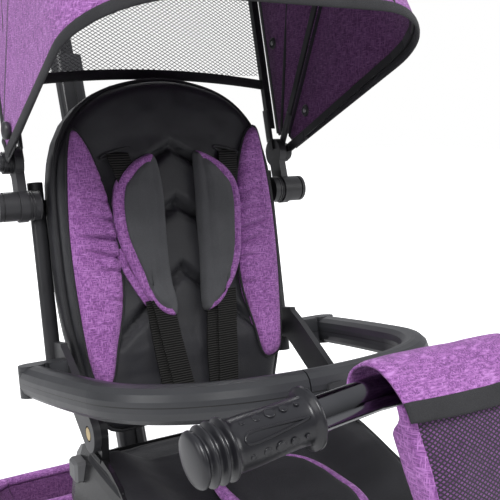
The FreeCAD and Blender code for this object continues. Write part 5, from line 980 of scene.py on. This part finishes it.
# Rear window: a fine diamond net of straight black yarns in two layers, one for each way, held by the rear
# bow. Its lower edge is an arched hem of black tape.
NET_HALF, NET_REACH, NET_CORNER, NET_LOW, NET_ANGLE = 169.5, 335, 81, 108, 106.3
NET_SLOPE, NET_PITCH, YARN_WIDTH, YARN_THICKNESS = 0.62, 7.6, 0.66, 0.5
HEM_HALF, HEM_ANGLE, HEM_LEVEL, HEM_ARCH, HEM_TAPE = 172, 106, 96, 12, 6.8
NET = moulded("net_yarn", (0.05, 0.052, 0.056), (0.10, 0.102, 0.108), 0.6, 0.8, 900, 0.0002)


def inside_net(p):
    if abs(p.x) > NET_HALF or p.y > NET_REACH or p.y < NET_LOW:
        return False
    kx, ky = abs(p.x) - (NET_HALF - NET_CORNER), p.y - (NET_REACH - NET_CORNER)
    return not (kx > 0 and ky > 0 and math.hypot(kx, ky) > NET_CORNER)


outward = hood(0, math.sin(math.radians(NET_ANGLE)), math.cos(math.radians(NET_ANGLE))) - hood(0, 0, 0)
mesh = bmesh.new()
for layer in (1, -1):
    way = Vector((1, NET_SLOPE * layer)).normalized()
    square = Vector((-way.y, way.x))
    for k in range(-120, 121):
        middle = Vector((k * NET_PITCH, (NET_LOW + NET_REACH) / 2))
        inside = [middle + way * t for t in range(-330, 331, 2) if inside_net(middle + way * t)]
        if len(inside) > 2:
            a, b = on_hood(inside[0], NET_ANGLE), on_hood(inside[-1], NET_ANGLE)
            across = (on_hood(square, NET_ANGLE) - hood(0, 0, 0)) * YARN_WIDTH
            yarn = Matrix((b - a, across, outward * YARN_THICKNESS)).transposed().to_4x4()
            place = Matrix.Translation((a + b) / 2 + outward * (YARN_THICKNESS / 2 * layer))
            bmesh.ops.create_cube(mesh, size=1, matrix=place @ yarn)
net = piece("rear_window_net", mesh, NET, "canopy_frame", is_smooth=False)
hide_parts("canopy_mesh")

hem_line = [Vector((x, HEM_LEVEL + HEM_ARCH * (1 - (x / HEM_HALF) ** 2)))
            for x in range(-HEM_HALF, HEM_HALF + 1, 6)]
hem_up = Vector((0, math.sin(math.radians(HEM_ANGLE)), math.cos(math.radians(HEM_ANGLE))))
hem = tube("rear_window_hem", [on_hood(p, NET_ANGLE) for p in hem_line], HEM_TAPE, BINDING, "canopy_frame",
           10, flat=0.25, up=hem_up)
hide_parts("canopy_hem")

# Snaps and knobs: turned press studs with a steel cap inside each wall of the canopy, and a round moulded
# knob outside it.
STUD = ((8, 0), (8, 0.6), (7, 1.8), (4.6, 2.4), (4.2, 1.4), (3.2, 1.3))
CAP = ((3.2, 1.2), (2.8, 2.4), (1.4, 3.0))
KNOB = ((6, 0), (9, 0.8), (10, 3), (10, 6), (9, 7.6), (6, 8.4), (1, 8.6))
SNAPS = (("low", 78, 48, 191.5, "canopy_front"), ("high", 150, 98, 185.5, "canopy_mid"))
KNOB_HALF, KNOB_REACH, KNOB_ANGLE = 193.4, 60, 40
for side, sign in (("left", 1), ("right", -1)):
    aside = Vector((sign, 0, 0))
    for tag, reach, angle, half, body in SNAPS:
        at = on_hood(Vector((half * sign, reach)), angle)
        piece(f"snap_{tag}_{side}", spun(bmesh.new(), at, -aside, STUD), SATIN_BLACK, body)
        piece(f"snap_cap_{tag}_{side}", spun(bmesh.new(), at, -aside, CAP), BARE_STEEL, body)
    at = on_hood(Vector((KNOB_HALF * sign, KNOB_REACH)), KNOB_ANGLE)
    piece(f"canopy_knob_{side}", spun(bmesh.new(), at, aside, KNOB), SATIN_BLACK, "canopy_front")

# Handlebar: one bent steel tube, plated in black chrome, clamped in the stem.
# Only its middle and a short length at each side stay bare between the bag and the grips.
STEER_LEAN, STEER_Y, STEER_Z, BAR_Z = 14.0, -487.97, 125, 538
steer = turned_frame(STEER_Y, STEER_Z, STEER_LEAN)
BAR_LEVEL = (BAR_Z - STEER_Z) / math.cos(math.radians(STEER_LEAN))
CHROME_BLACK = moulded("black_chrome", (0.085, 0.086, 0.092), (0.12, 0.121, 0.128), 0.10, 0.18, 400, 0.00003,
                       0.3, 1.0)
dress(CHROME_BLACK, "handlebar")


# Bag: a pouch of purple cloth under the handlebar, with tight black net over a purple lining in front and
# melange gussets at the sides. It narrows towards its floor.
def netted():
    """Purple lining seen through a tight black net of diagonal yarns."""
    paint = Paint("netted_purple", 0.75, sheen=0.2, specular=0.25)
    yarns = []
    for turn in (0.96, -0.96):
        made = paint.node("ShaderNodeMapping")
        made.inputs["Rotation"].default_value = (0, turn, 0)
        paint.link(paint.place, made.inputs["Vector"])
        yarns.append(paint.math("GREATER_THAN", paint.ribs(112, "X", made.outputs[0]), 0.6))
    net_mask = paint.math("MAXIMUM", *yarns)
    lining = paint.ramp(paint.mottle(300, 3), (0.35, (0.10, 0.03, 0.125)), (0.65, (0.20, 0.075, 0.24)))
    paint.colour(paint.lined(lining, net_mask, (0.022, 0.017, 0.026)))
    paint.bump(net_mask, 0.5, 0.0006)
    return paint.made


POUCH_TOP, POUCH_DEPTH, POUCH_HALF, POUCH_TAPER = BAR_LEVEL - 6, 111, 66, 25
POUCH_FRONT, POUCH_BACK, WING_START, WING_RUN, WING_DEPTH = -38, -21.5, 24, 14, 16
POUCH_AROUND, POUCH_DOWN, POUCH_ROUNDNESS, NET_SIDE = 96, 26, 0.42, -0.62


def pouch_row(t):
    """The pouch's outline at a share of its depth, from the top down, with its folds."""
    half, z = POUCH_HALF - POUCH_TAPER * t ** 1.1, POUCH_TOP - POUCH_DEPTH * t
    front = POUCH_FRONT + 4 * t - 3 * math.sin(math.pi * min(t * 1.15, 1))
    row = []
    for turn in (math.tau * k / POUCH_AROUND for k in range(POUCH_AROUND)):
        cx, cy = math.cos(turn), math.sin(turn)
        x = half * math.copysign(abs(cx) ** POUCH_ROUNDNESS, cx)
        wing = ease(abs(x), WING_START, WING_RUN) * ease(t, 0.06, 0.14)
        rear = POUCH_BACK + WING_DEPTH * wing * wing * (3 - 2 * wing)
        y = (rear + front) / 2 + (rear - front) / 2 * math.copysign(abs(cy) ** POUCH_ROUNDNESS, cy)
        fold = 1.2 * fuzz(x, y, z, 26, 3.0) + 0.4 * fuzz(x, y, z, 9, 1.0)
        lean = 1.6 * math.sin(z / 13 + x / 30) * (1 if cy < 0 else 0.2)
        row.append(steer(x + fold * cx, y + (fold + lean * 0.5) * (cy if cy < 0 else 0.1), z))
    return row


mesh, edges = skin([pouch_row(j / POUCH_DOWN) for j in range(POUCH_DOWN + 1)],
                   is_second=lambda j, k: math.sin(math.tau * (k + 0.5) / POUCH_AROUND) > NET_SIDE)
for ends in (edges, [e for e in mesh.edges if e.is_boundary and e not in edges]):
    for face in bmesh.ops.edgeloop_fill(mesh, edges=ends)["faces"]:
        face.material_index = 1
pouch = piece("bag_pouch", mesh, netted(), "steering", second=PURPLE)
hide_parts("handlebar_bag")

# Bag flap: purple melange cloth laid over the handlebar from behind and down over the pouch.
# Its front edge is bound with black tape and droops a little at the corners.
FLAP_ROWS = [(22.5, 2), (21.8, 9), (17, 16.5), (8, 21.8), (-3, 23), (-13, 20.5), (-23, 13.5), (-31, 5.5),
             (-37.5, -3), (-41.5, -15)]
FLAP_HALF, FLAP_WIDE, FLAP_LONG, BINDING_ROWS, FLAP_EASE, FLAP_THICKNESS = 69, 44, 50, 7, 1.03, 2
flap_line = smooth_loop(FLAP_ROWS, FLAP_LONG, False)
rows = []
for j, p in enumerate(flap_line):
    t, row = j / (FLAP_LONG - 1), []
    proud = 0.5 if j >= FLAP_LONG - BINDING_ROWS else 0.0
    for u in (k / FLAP_WIDE * 2 - 1 for k in range(FLAP_WIDE + 1)):
        fold = 1.6 * fuzz(u * 68, p.x, p.y, 34, 8.0) + 0.5 * fuzz(u * 68, p.x, p.y, 10, 2.0)
        droop = 3.0 * max(0, abs(u) - 0.9) / 0.1 * (1 - t)
        dip = 3.5 * (1 - u * u) * max(0, t - 0.5) / 0.5
        row.append(steer(u * (FLAP_HALF - t), p.x - (fold * 0.7 if p.x < -20 else 0) - proud,
                         BAR_LEVEL + p.y - droop - dip + (fold if -30 < p.x < 10 else 0) * 0.6))
    rows.append(row)
mesh, _ = skin(rows, is_closed=False, is_second=lambda j, k: j >= FLAP_LONG - 1 - BINDING_ROWS)
flap = piece("bag_flap", mesh, PURPLE, "steering", second=BINDING)
thicken(flap, FLAP_THICKNESS)

# Grips: soft black rubber pushed over the bar's ends. The palm swells between a thin flange and three end
# rings, and carries a leaf-shaped rib and two rows of studs on each face.
GRIP_PROFILE = [
    (12.5, 57), (21.0, 57.2), (22, 58), (22, 59.8), (21.2, 60.6), (17.6, 61.6),
    (16.6, 64), (16.4, 74), (16.9, 90), (17.5, 105), (17.3, 116), (16.6, 120.5),
    (20, 121.4), (20.6, 122.1), (20.6, 123), (20, 123.7), (15.6, 124.4), (15.2, 127.4),
    (19.8, 128.2), (20.4, 128.9), (20.4, 129.8), (19.8, 130.5), (15.4, 131.2), (15, 134.2),
    (19.4, 135), (20, 135.7), (20, 136.6), (19.4, 137.3), (15, 138), (14.8, 140.6),
    (18, 141.4), (18.6, 142.2), (18.4, 143.6), (17.2, 145), (14.5, 146), (10, 146.8), (5, 147.2), (1, 147.3)]
LEAF_RIB = [(66, 0), (80, 1.6), (95, 3.0), (107, 3.6), (112.5, 2.9), (114.5, 0), (112.5, -2.9), (107, -3.6),
            (95, -3.0), (80, -1.6)]
GRIP_ROOT, GRIP_DROOP = 62, math.radians(5.6)
FACES = (("front", 1.25), ("back", 1.25 + math.pi))
STUD_SPREAD, STUD_START, STUD_STEP, STUD_SINK, PALM = 0.68, 70, 10.3, 16.7, 17.3
STUD_SIZES, RIB_RADIUS = (1.9, 2.9, 3.8, 2.9, 1.9), 0.9
facing = (steer(0, -1, 0) - steer(0, 0, 0)).normalized()
for side, sign in (("left", 1), ("right", -1)):
    way = (steer(sign * math.cos(GRIP_DROOP), 0, -math.sin(GRIP_DROOP)) - steer(0, 0, 0)).normalized()
    up = (steer(sign * math.sin(GRIP_DROOP), 0, math.cos(GRIP_DROOP)) - steer(0, 0, 0)).normalized()
    root = steer(GRIP_ROOT * sign, 0, BAR_LEVEL)

    def on_grip(along, turn, radius):
        return root + way * (along * MM) + (up * math.cos(turn) + facing * math.sin(turn)) * (radius * MM)

    mesh = spun(bmesh.new(), root, way, GRIP_PROFILE, 72)
    for turn in (middle + spread for _, middle in FACES for spread in (-STUD_SPREAD, STUD_SPREAD)):
        for k, size in enumerate(STUD_SIZES):
            dome = ((size, -0.8), (size, 0.9), (size * 0.86, 1.4), (size * 0.62, 1.0), (size * 0.1, 1.2))
            at = on_grip(STUD_START + STUD_STEP * k, turn, STUD_SINK)
            spun(mesh, at, on_grip(0, turn, 1) - root, dome, 20)
    grip = piece(f"grip_{side}", mesh, RUBBER, "steering")
    if side == "left":
        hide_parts("handlebar_grips")
    for tag, middle in FACES:
        rib = [on_grip(p.x, middle + p.y / 17, PALM) for p in smooth_loop(LEAF_RIB, 60)]
        tube(f"grip_rib_{tag}_{side}", rib, RIB_RADIUS, RUBBER, "steering", 8, True)
